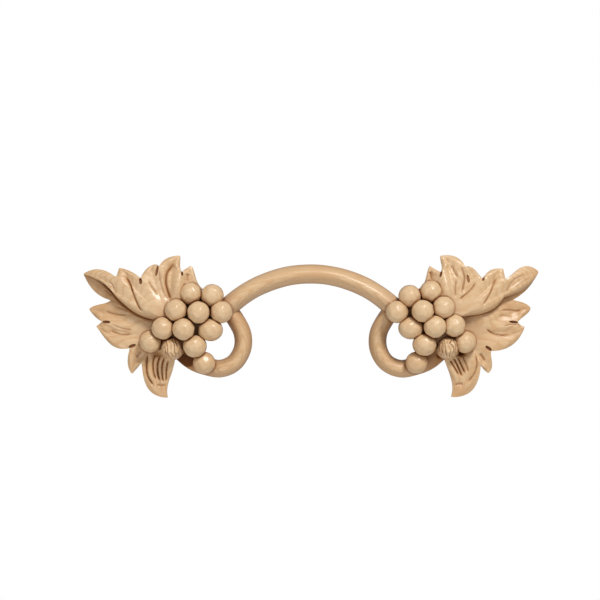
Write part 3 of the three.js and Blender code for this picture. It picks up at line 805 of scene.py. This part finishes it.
def vine_form(name, stations, sign, seed):
    """A vine along stations of place, thickness and level: a domed front on short walls, and a flat back."""
    dome_end = WALL_SHARE + DOME_SHARE
    wall_end = dome_end + WALL_SHARE
    section = []
    for turn in np.linspace(0, 1, VINE_AROUND + 1):
        if turn < WALL_SHARE:
            section.append((-0.5, VINE_SHOULDER * turn / WALL_SHARE))
        elif turn < dome_end:
            angle = math.pi * (1 - (turn - WALL_SHARE) / DOME_SHARE)
            section.append((0.5 * math.cos(angle), VINE_SHOULDER + (1 - VINE_SHOULDER) * math.sin(angle)))
        elif turn < wall_end:
            section.append((0.5, VINE_SHOULDER * (wall_end - turn) / WALL_SHARE))
        else:
            section.append((0.5 - (turn - wall_end) / (1 - wall_end), 0))
    rows = len(stations) - 1
    deselect()
    bpy.ops.mesh.primitive_grid_add(x_subdivisions=VINE_AROUND, y_subdivisions=rows, size=1)
    form = bpy.context.object
    flat = read_points(form.data)
    columns = np.rint((flat[:, 0] + 0.5) * VINE_AROUND).astype(int) % VINE_AROUND
    lines = np.rint((flat[:, 1] + 0.5) * rows).astype(int)
    points = []
    for i, j in zip(lines, columns):
        at, thickness, level = stations[i]
        along = stations[min(rows, i + 1)][0] - stations[max(0, i - 1)][0]
        across = np.array([along[1], -along[0]]) / np.hypot(*along)
        a, h = section[j]
        spot = Vector((at[0] * WOBBLES_A_METRE + seed, at[1] * WOBBLES_A_METRE, j * 0.2))
        wobble = noise.noise(spot) * WOBBLE
        p = at + across * a * (thickness + wobble)
        points.append((sign * p[0], -h * (level + wobble), p[1]))
    write_points(form.data, points)
    make_active(form)
    bpy.ops.object.mode_set(mode="EDIT")
    bpy.ops.mesh.select_all(action="SELECT")
    bpy.ops.mesh.remove_doubles(threshold=LAST_WELD)
    bpy.ops.mesh.select_all(action="DESELECT")
    bpy.ops.mesh.select_mode(type="EDGE")
    bpy.ops.mesh.select_non_manifold(extend=False)
    bpy.ops.mesh.fill_holes(sides=0)
    bpy.ops.mesh.select_mode(type="VERT")
    bpy.ops.object.mode_set(mode="OBJECT")
    return finished_form(form, read_points(form.data), name)


def bow_form(sizes):
    """The bow: an arc of vine, thicker and higher towards its ends."""
    reach = BOW_REACH * sizes.width / 2
    drop = BOW_DROP * sizes.height
    radius = (reach * reach + drop * drop) / (2 * drop)
    half = math.asin(reach / radius)
    stations = []
    for i in range(BOW_STEPS + 1):
        share = 2 * i / BOW_STEPS - 1
        angle = half * share
        at = np.array([radius * math.sin(angle), radius * (math.cos(angle) - 1)])
        thickness = sizes.bow_thickness + (sizes.bow_end_thickness - sizes.bow_thickness) * share ** 2
        level = sizes.depth * (BOW_LEVELS[0] + (BOW_LEVELS[1] - BOW_LEVELS[0]) * share ** 2)
        stations.append((at, thickness, level))
    return vine_form("bow", stations, 1, 3.0)


def loop_form(side, sizes):
    """A crook of the vine, which swells a little and sinks towards the wall in its tail."""
    which, sign, index = side
    line = smooth_line([place(p, sizes) for p in LOOP], LOOP_STEPS + 1)
    stations = []
    for i, at in enumerate(line):
        tail = float(smooth((i / LOOP_STEPS - TAIL_START) / TAIL_RUN))
        level = sizes.depth * (LOOP_LEVEL + (TAIL_LEVELS[which] - LOOP_LEVEL) * tail)
        stations.append((at, sizes.loop_thickness * (1 + TAIL_SWELL * tail), level))
    return vine_form(f"crook_{which}", stations, sign, 11.0 + index)


def knife_flats(seed):
    """The knife's flats on a grape: directions, evenly spread and then shaken, and how near each is cut."""
    draw = random.Random(seed)
    flats = []
    for n in range(FLATS):
        height = 1 - 2 * (n + 0.5) / FLATS
        reach = math.sqrt(1 - height * height)
        turn = GOLDEN_ANGLE * n + seed
        shake = Vector([draw.uniform(-FLAT_SHAKE, FLAT_SHAKE) for _ in range(3)])
        flats.append((Vector((reach * math.cos(turn), reach * math.sin(turn), height)) + shake).normalized())
    return [(flat, draw.uniform(*FLAT_NEAR)) for flat in flats]


def grape_form(name, at, level, wide, sign, seed, sizes):
    """A grape: a ball with knife flats, whose hidden half is drawn back to a foot, near upright."""
    radius = sizes.grape_radius * (1 + GRAPE_SPREAD * (random.Random(seed).random() - 0.5))
    middle = level - radius
    foot = sizes.depth * GRAPE_FOOT
    flats = knife_flats(seed)
    deselect()
    bpy.ops.mesh.primitive_ico_sphere_add(subdivisions=4, radius=radius)
    form = bpy.context.object
    made = []
    for x, y, z in read_points(form.data):
        if y > 0:
            turn = math.asin(min(1, y / radius)) / (math.pi / 2)
            wall = radius * (1 - GRAPE_TAPER * turn) * min(1, (1 - turn) / GRAPE_CLOSING)
            scale = wall / max(math.hypot(x, z), TINY)
            sunk = (middle - foot) * min(1, turn / (1 - GRAPE_CLOSING))
            made.append((x * scale, -middle + sunk, z * scale))
        else:
            way = Vector((x, y, z)).normalized()
            scale = min(1, *(near / way.dot(flat) for flat, near in flats if way.dot(flat) > FLAT_REACH))
            made.append((x * scale, -middle + y * scale, z * scale))
    made = np.array(made) * np.array([wide, 1, 1]) + np.array([sign * at[0], 0, at[1]])
    made[:, 1] = np.maximum(made[:, 1], -level)
    return finished_form(form, made, name)


def knob_form(name, at, level, sign, seed, sizes):
    """The knob: a blunt stump roughened all over by short gouge strokes."""
    radius = sizes.grape_radius * KNOB_RADIUS
    deselect()
    bpy.ops.mesh.primitive_ico_sphere_add(subdivisions=6, radius=1)
    form = bpy.context.object
    made = []
    for x, y, z in read_points(form.data):
        wide = radius * max(0, 1 - y * y) ** KNOB_SQUARENESS / max(math.hypot(x, z), TINY)
        if y < 0:
            sway = noise.noise(Vector((x * SWAY_SCALE[0] + seed, z * SWAY_SCALE[1], y)))
            broken = noise.noise(Vector((x * BREAK_SCALE[0], z * BREAK_SCALE[1] + seed, y * BREAK_SCALE[2])))
            phase = STROKES[0] * x + STROKES[1] * z + STROKE_SWAY * sway + STROKE_BREAK * broken
            stroke = STROKE_DEPTH * (STROKE_MIDDLE - abs(math.sin(math.pi * phase))) + STROKE_UNEVEN * broken
            deep = (-y) ** KNOB_POWER
            dome = level * (1 - KNOB_DOME * (x * x + z * z))
            out = dome * (KNOB_FOOT + (1 - KNOB_FOOT) * deep) - MM * stroke * min(1, deep * STROKE_RUN)
        else:
            out = level * KNOB_FOOT * (1 - y)
        made.append((sign * at[0] + x * wide, -out, at[1] + z * wide))
    made = np.array(made)
    made[:, 1] = np.clip(made[:, 1], -level, 0)
    return finished_form(form, made, name)


def core_form(name, ring, low, high):
    """A prism over a ring of places, such as the ground between the grapes."""
    deselect()
    bpy.ops.mesh.primitive_circle_add(vertices=len(ring), radius=1, fill_type="NGON")
    form = bpy.context.object
    write_points(form.data, [(p[0], -low, p[1]) for p in ring])
    bpy.ops.object.mode_set(mode="EDIT")
    bpy.ops.mesh.select_all(action="SELECT")
    bpy.ops.mesh.extrude_region_move(TRANSFORM_OT_translate={"value": (0, low - high, 0)})
    bpy.ops.object.mode_set(mode="OBJECT")
    return finished_form(form, read_points(form.data), name)


def ground_rim(kind, index, sizes):
    """The rim of the high or the low ground: the grapes that stand on it, in turn round their middle."""
    rim = [place(g["at"][index], sizes) for g in GRAPES if g["ground"] in (kind, "both")]
    middle = sum(rim) / len(rim)
    return sorted(rim, key=lambda p: math.atan2(*(p - middle)[::-1]))


def eye_form(ends, width, floor, sign, sizes):
    """A cutter for one slot between two lobes: an oval prism that runs a little past the slot's ends."""
    a, b = place(ends[0], sizes), place(ends[1], sizes)
    along = b - a
    out = np.array([-along[1], along[0]]) / np.hypot(*along)
    ring = []
    for turn in np.linspace(0, 2 * math.pi, EYE_POINTS, endpoint=False):
        p = a + along * (0.5 + EYE_HALF * math.cos(turn)) + out * width * MM / 2 * math.sin(turn)
        ring.append((sign * p[0], p[1]))
    return core_form("eye", ring, sizes.depth * floor, sizes.depth * EYE_TOP)


def combine(body, form, operation):
    """Joins a form to the body or cuts it out."""
    make_active(body)
    modifier = body.modifiers.new(operation.lower(), "BOOLEAN")
    modifier.operation = operation
    modifier.solver = "MANIFOLD"
    modifier.object = form
    before = len(body.data.vertices)
    bpy.ops.object.modifier_apply(modifier=modifier.name)
    if not len(body.data.vertices):
        raise RuntimeError(f"{form.name} could not be combined; the body had {before} vertices")
    bpy.data.objects.remove(form, do_unlink=True)


def feel_hollows(mesh, points, normals):
    """How closed in each point is by what stands round it, far and near, felt out by a fan of rays."""
    tree = BVHTree.FromPolygons([v.co for v in mesh.vertices], [tuple(p.vertices) for p in mesh.polygons])
    rays = []
    for n in range(RAYS):
        h = math.sqrt((n + 0.5) / RAYS)
        r = math.sqrt(1 - h * h)
        rays.append(Vector((r * math.cos(GOLDEN_ANGLE * n), r * math.sin(GOLDEN_ANGLE * n), h)))
    hollow_shade_and_finish = np.zeros(len(points))
    crevice_shade = np.zeros(len(points))
    up = Vector((0, 0, 1))
    for index, point in enumerate(points):
        normal = Vector(normals[index])
        turn = up.rotation_difference(normal)
        start = Vector(point) + normal * RAY_START * MM
        for ray in rays:
            hit = tree.ray_cast(start, turn @ ray, FAR)
            if hit[0] is not None:
                hollow_shade_and_finish[index] += 1 - (hit[3] / FAR) ** FAR_POWER
                crevice_shade[index] += max(0.0, 1 - hit[3] / NEAR)
    return hollow_shade_and_finish / RAYS, crevice_shade / RAYS


def feel_crests(mesh, points, normals):
    """How far each point stands out over its neighbours."""
    edges = np.empty(len(mesh.edges) * 2, dtype=int)
    mesh.edges.foreach_get("vertices", edges)
    a, b = edges.reshape(-1, 2).T
    along = points[b] - points[a]
    length = np.linalg.norm(along, axis=1).clip(TINY)
    bend = np.zeros(len(points))
    degree = np.zeros(len(points))
    for first, sense in ((a, 1), (b, -1)):
        np.add.at(bend, first, -(sense * along * normals[first]).sum(1) / length)
        np.add.at(degree, first, 1)
    return np.clip(bend / degree.clip(1), -1, 1)


def mark_hollows(mesh, sizes):
    """Writes how closed in and how far out each point is, and the painted shade and painted shadow it gets,
    which the finish reads.
    """
    points = read_points(mesh)
    normals = np.empty(len(points) * 3)
    mesh.vertices.foreach_get("normal", normals)
    normals = normals.reshape(-1, 3)
    hollow_shade_and_finish, crevice_shade = feel_hollows(mesh, points, normals)
    crest = feel_crests(mesh, points, normals)
    facing = smooth((-normals[:, 1] - FACING_START) / FACING_RUN)
    # Painted shade in the cut lines, along the hems, on the eyes' floors and round the grapes' feet.
    painted_shade = np.maximum(painted_line_shade(points, sizes) * facing, painted_foot_shade(points, sizes))
    # Painted shadow patches in the recesses, added to the painted shade of the hollows.
    for at, radii, share in PAINTED_SHADOWS:
        away = (points[:, [0, 2]] - place(at, sizes)) / (np.array(radii) * MM)
        hollow_shade_and_finish += share * np.exp(-(away ** 2).sum(1)) * (points[:, 1] > -PAINTED_SHADOW_TOP)
    bare = points[:, 1] > -BACK_BAND
    for name, values in (("hollow_shade_and_finish", hollow_shade_and_finish), ("crevice_shade", crevice_shade), ("crest", crest), ("painted_shade", painted_shade)):
        values[bare] = 0
        layer = mesh.attributes.new(name, "FLOAT", "POINT")
        layer.data.foreach_set("value", values.astype(np.float32))


# Materials.

def linear(code):
    """An sRGB hex code as linear red, green, blue and alpha."""
    parts = [int(code[i:i + 2], 16) / 255 for i in (1, 3, 5)]
    return [p / 12.92 if p <= 0.04045 else ((p + 0.055) / 1.055) ** 2.4 for p in parts] + [1.0]


def add_node(tree, kind, settings=None, inputs=None):
    """Adds a node: settings are its properties, inputs its sockets' values or the sockets that feed them."""
    node = tree.nodes.new(kind)
    for key, value in (settings or {}).items():
        setattr(node, key, value)
    for key, value in (inputs or {}).items():
        socket = node.inputs[key]
        if isinstance(value, bpy.types.NodeSocket):
            tree.links.new(value, socket)
        else:
            socket.default_value = value
    return node


def mixed(tree, share, first, second):
    """A colour blended from the first to the second by a share."""
    settings = {"data_type": "RGBA"}
    return add_node(tree, "ShaderNodeMix", settings, {"Factor": share, 6: first, 7: second}).outputs[2]


def ramped(tree, value, stops):
    """A share read off a ramp: each stop is a place on it and the share there."""
    node = add_node(tree, "ShaderNodeValToRGB", None, {"Fac": value})
    elements = node.color_ramp.elements
    while len(elements) < len(stops):
        elements.new(0.5)
    for element, (position, share) in zip(elements, stops):
        element.position = position
        element.color = (share, share, share, 1)
    return node.outputs[0]


def ranged(tree, value, start, end, low, high):
    """A value moved from one range to another and held at its ends."""
    return add_node(tree, "ShaderNodeMapRange", None, {
        "Value": value, "From Min": start, "From Max": end, "To Min": low, "To Max": high}).outputs[0]


def noisy(tree, vector, scale, detail=2.0, roughness=0.5, distortion=0.0):
    return add_node(tree, "ShaderNodeTexNoise", None, {
        "Vector": vector, "Scale": scale, "Detail": detail, "Roughness": roughness,
        "Distortion": distortion}).outputs["Fac"]


def stretched(tree, vector, per_metre, tilt=(0, 0, 0)):
    """The places tilted and scaled so that a pattern repeats this often a metre along each axis."""
    return add_node(tree, "ShaderNodeMapping", None, {
        "Vector": vector, "Rotation": tilt, "Scale": per_metre}).outputs[0]


def marked(tree, name):
    """A value that the carving wrote at each point."""
    return add_node(tree, "ShaderNodeAttribute", {"attribute_name": name}).outputs["Fac"]


def empty_material(name):
    material = bpy.data.materials.new(name)
    material.use_nodes = True
    material.node_tree.nodes.clear()
    return material, material.node_tree


def maple_material(finish):
    """Hard maple, carved, sanded and satin lacquered: close pale grain along the length, a warmer, darker
    tone painted in the hollows as shade and partly as gathered lacquer, and a soft sheen on the grapes."""
    material, tree = empty_material("satin_maple")
    where = add_node(tree, "ShaderNodeTexCoord").outputs["Object"]
    depth = add_node(tree, "ShaderNodeSeparateXYZ", None, {"Vector": where}).outputs["Y"]
    hollow_shade_and_finish, crevice_shade, crest, painted_shade = (marked(tree, name) for name in ("hollow_shade_and_finish", "crevice_shade", "crest", "painted_shade"))

    # Grain: streaks about 45 mm long and 1.6 mm apart; pores 3 mm by 0.3 mm, drawn at 0.5 mm to show.
    streaks = noisy(tree, stretched(tree, where, (22, 400, 620)), 1.0, 4.0, 0.55, 0.4)
    pores = noisy(tree, stretched(tree, where, (330, 2000, 2000)), 1.0)
    patches = noisy(tree, where, 38.0)

    # Growth rings 1.5 mm apart through the block, which the carving cuts into contour lines.
    rings_at = stretched(tree, where, (0.12, 1.0, 0.35), (math.radians(-24), 0, math.radians(4)))
    rings = add_node(tree, "ShaderNodeTexWave", {"wave_type": "BANDS", "bands_direction": "Y"}, {
        "Vector": rings_at, "Scale": 210.0, "Distortion": 2.2, "Detail": 2.0,
        "Detail Scale": 0.35}).outputs["Fac"]

    # The bare wood, from its grain to the pores.
    warm = linear(finish.warm)
    streaked = ramped(tree, streaks, [(0.36, 0.0), (0.68, 1.0)])
    colour = mixed(tree, streaked, linear(finish.pale), linear(finish.wood))
    colour = mixed(tree, ramped(tree, rings, [(0.55, 0.0), (0.95, 0.6)]), colour, warm)
    colour = mixed(tree, ramped(tree, patches, [(0.42, 0.0), (0.72, 0.55)]), colour, warm)
    # It is painted darker towards the wall, as painted shade, and paler on the highest forms, as painted
    # light.
    colour = mixed(tree, ranged(tree, depth, -0.0155, -0.008, 0.0, 0.9), colour, linear(PAINTED_SHADE_TONE))
    colour = mixed(tree, ranged(tree, depth, -0.032, -0.019, 0.4, 0.0), colour, linear(PAINTED_LIGHT_TONE))
    colour = mixed(tree, ramped(tree, pores, [(0.60, 0.0), (0.78, 0.28)]), colour, linear(PORE_TONE))

    # Painted shade in the hollows, partly as gathered finish; painted shade in the cut lines, crevices and
    # the deepest recesses; and paler wood worn off the crests.
    line = linear(finish.line)
    hollow_shade_share = ramped(tree, hollow_shade_and_finish, [(0.24, 0.0), (0.55, 0.36), (0.85, 0.85)])
    colour = mixed(tree, hollow_shade_share, colour, linear(finish.hollow_shade_and_finish))
    # Painted shade in the crevices, where nearby surfaces close a point in.
    colour = mixed(tree, ramped(tree, crevice_shade, [(0.16, 0.0), (0.45, 0.5), (0.85, 0.8)]), colour, line)
    # Painted shade in the cut lines, hems, eyes and round the grapes' feet.
    colour = mixed(tree, ramped(tree, painted_shade, [(0.05, 0.0), (0.9, 0.85)]), colour, line)
    # Painted shade: the most closed in places are darkened further.
    colour = mixed(tree, ramped(tree, hollow_shade_and_finish, [(0.6, 0.0), (0.95, 0.8)]), colour, linear(finish.deep))
    colour = mixed(tree, ramped(tree, crest, [(0.12, 0.0), (0.5, 0.5)]), colour, linear(WORN_TONE))

    # Surface: gouge facets 3 to 5 mm wide left under the sanding, and the grain itself.
    facet_bump = add_node(tree, "ShaderNodeBump", None, {
        "Strength": 0.6, "Distance": 0.00045, "Height": noisy(tree, where, 300.0)})
    grain_bump = add_node(tree, "ShaderNodeBump", None, {
        "Strength": 0.4, "Distance": 0.00006, "Height": streaks, "Normal": facet_bump.outputs[0]})

    # The lacquer: glossiest on the high open forms, dull in the hollows.
    coat = add_node(tree, "ShaderNodeMath", {"operation": "MULTIPLY"}, {
        0: ranged(tree, depth, -0.03, -0.011, 0.36, 0.08), 1: ranged(tree, hollow_shade_and_finish, 0.2, 0.7, 1.0, 0.0)})
    rough = finish.roughness
    shader = add_node(tree, "ShaderNodeBsdfPrincipled", None, {
        "Base Color": colour, "Roughness": ranged(tree, patches, 0.3, 0.7, rough - 0.05, rough + 0.08),
        "Normal": grain_bump.outputs[0], "IOR": 1.5, "Coat Weight": coat.outputs[0], "Coat Roughness": 0.16,
        "Specular IOR Level": ranged(tree, hollow_shade_and_finish, 0.3, 0.9, 0.5, 0.1)})
    add_node(tree, "ShaderNodeOutputMaterial", None, {"Surface": shader.outputs[0]})
    return material


def stage_material():
    """Matt studio paper: an even pale white with the least tooth."""
    material, tree = empty_material("matt_studio_paper")
    where = add_node(tree, "ShaderNodeTexCoord").outputs["Object"]
    bump = add_node(tree, "ShaderNodeBump", None, {
        "Strength": 0.05, "Distance": 0.0002, "Height": noisy(tree, where, 900.0)})
    shader = add_node(tree, "ShaderNodeBsdfPrincipled", None, {
        "Base Color": linear(PAPER), "Roughness": 0.9, "Normal": bump.outputs[0]})
    add_node(tree, "ShaderNodeOutputMaterial", None, {"Surface": shader.outputs[0]})
    return material


def carve_side(body, side, sizes):
    """Adds one side to the body: its crook, leaves, grounds, eyes, grapes and knob, in this order."""
    which, sign, index = side
    combine(body, loop_form(side, sizes), "UNION")
    lower = leaf_form(LOWER, side, sizes)
    upper = leaf_form(UPPER, side, sizes, ground_of(lower, sign))
    combine(body, lower, "UNION")
    combine(body, upper, "UNION")
    lowest_top = min(g["top"] for g in GRAPES if g["ground"] != "low")
    high_ground = sizes.depth * lowest_top - sizes.grape_radius - GROUND_CLEARANCE
    for kind, level in (("high", high_ground), ("low", sizes.depth * LOW_GROUND_LEVEL)):
        rim = [(sign * p[0], p[1]) for p in ground_rim(kind, index, sizes)]
        combine(body, core_form(f"{kind}_ground", rim, 0, level), "UNION")
    for ring, level in BACK_FILLINGS:
        filling = [place(p, sizes) * np.array([sign, 1]) for p in ring]
        combine(body, core_form("back_filling", filling, 0, sizes.depth * level), "UNION")
    for a, b, width, floor in EYES[which]:
        combine(body, eye_form((a, b), width, floor, sign, sizes), "DIFFERENCE")
    for i, grape in enumerate(GRAPES):
        at = place(grape["at"][index], sizes)
        seed = 20 * index + i + 1
        form = grape_form(f"grape_{i}", at, grape["top"] * sizes.depth, grape["wide"], sign, seed, sizes)
        combine(body, form, "UNION")
    at = place(KNOB["at"][index], sizes)
    combine(body, knob_form("knob", at, KNOB["top"] * sizes.depth, sign, 4.0 + 3 * index, sizes), "UNION")


class ONLAY_OT_carving(bpy.types.Operator):
    """Carve the onlay: bow, crooks, leaves, grapes and knobs, joined as one piece of wood"""
    bl_idname = "onlay.carving"
    bl_label = "Carve the onlay"

    def execute(self, context):
        sizes = context.scene.onlay_sizes
        body = bow_form(sizes)
        for side in SIDES:
            carve_side(body, side, sizes)
        make_active(body)
        bpy.ops.object.mode_set(mode="EDIT")
        bpy.ops.mesh.select_all(action="SELECT")
        bpy.ops.mesh.remove_doubles(threshold=LAST_WELD)
        bpy.ops.mesh.quads_convert_to_tris(quad_method="BEAUTY", ngon_method="BEAUTY")
        bpy.ops.object.mode_set(mode="OBJECT")
        write_points(body.data, np.clip(read_points(body.data), *np.array(CAD_BOX, dtype=float)))
        mark_hollows(body.data, sizes)
        bpy.ops.object.shade_smooth_by_angle(angle=math.radians(SMOOTH_ANGLE))
        on_back = read_points(body.data)[:, 1] > -BACK_FLATNESS
        flat = [all(on_back[v] for v in face.vertices) for face in body.data.polygons]
        body.data.polygons.foreach_set("use_smooth", [not back for back in flat])
        body.name = "grapevine_onlay"
        body.data.materials.clear()
        body.data.materials.append(maple_material(context.scene.onlay_finish))
        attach(body, "root")
        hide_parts(NODE)
        return {"FINISHED"}


class ONLAY_OT_stage(bpy.types.Operator):
    """Set the pale floor, the soft lights, the white surround and the camera"""
    bl_idname = "onlay.stage"
    bl_label = "Set the stage"

    def execute(self, context):
        scene = context.scene
        deselect()
        bpy.ops.mesh.primitive_circle_add(vertices=128, radius=FLOOR_RADIUS, fill_type="NGON")
        floor = context.object
        floor.name = "pale_floor"
        for vertex in floor.data.vertices:
            vertex.co.z = FLOOR_LEVEL
        floor.data.materials.append(stage_material())

        for name, at, size, power in LIGHTS:
            deselect()
            bpy.ops.object.light_add(type="AREA", location=at)
            light = context.object
            light.name = name
            light.data.size = size
            light.data.energy = power
            light.rotation_euler = (Vector(LIGHTS_AIM) - Vector(at)).to_track_quat("-Z", "Y").to_euler()

        world = bpy.data.worlds.new("white_surround")
        scene.world = world
        world.use_nodes = True
        tree = world.node_tree
        tree.nodes.clear()
        seen = add_node(tree, "ShaderNodeBackground", None, {"Color": (1, 1, 1, 1), "Strength": 1.0})
        light = add_node(tree, "ShaderNodeBackground", None, {
            "Color": SURROUND_TINT, "Strength": SURROUND_LIGHT})
        path = add_node(tree, "ShaderNodeLightPath")
        mix = add_node(tree, "ShaderNodeMixShader", None, {
            0: path.outputs["Is Camera Ray"], 1: light.outputs[0], 2: seen.outputs[0]})
        add_node(tree, "ShaderNodeOutputWorld", None, {"Surface": mix.outputs[0]})

        scene.view_settings.view_transform = "Standard"
        scene.view_settings.look = "None"

        deselect()
        bpy.ops.object.camera_add(location=CAMERA_AT, rotation=(math.pi / 2, 0, 0))
        camera = context.object
        camera.name = "front_camera"
        camera.data.sensor_width = CAMERA_SENSOR
        camera.data.lens = CAMERA_LENS
        camera.data.dof.use_dof = False
        scene.camera = camera
        return {"FINISHED"}


class ONLAY_PT_panel(bpy.types.Panel):
    """Lists the sizes, the finish and the steps"""
    bl_idname = "ONLAY_PT_panel"
    bl_label = "Carved grapevine onlay"
    bl_space_type = "VIEW_3D"
    bl_region_type = "UI"
    bl_category = "Onlay"

    def draw(self, context):
        for group in (context.scene.onlay_sizes, context.scene.onlay_finish):
            box = self.layout.box()
            for name in group.__annotations__:
                box.prop(group, name)
        for operator in (ONLAY_OT_stage, ONLAY_OT_carving):
            self.layout.operator(operator.bl_idname)


CLASSES = (OnlaySizes, OnlayFinish, ONLAY_OT_carving, ONLAY_OT_stage, ONLAY_PT_panel)


def register():
    for item in CLASSES:
        bpy.utils.register_class(item)
    bpy.types.Scene.onlay_sizes = bpy.props.PointerProperty(type=OnlaySizes)
    bpy.types.Scene.onlay_finish = bpy.props.PointerProperty(type=OnlayFinish)


def unregister():
    del bpy.types.Scene.onlay_finish
    del bpy.types.Scene.onlay_sizes
    for item in reversed(CLASSES):
        bpy.utils.unregister_class(item)


def main():
    register()
    bpy.ops.onlay.stage()
    bpy.ops.onlay.carving()


if __name__ == "__main__":
    main()
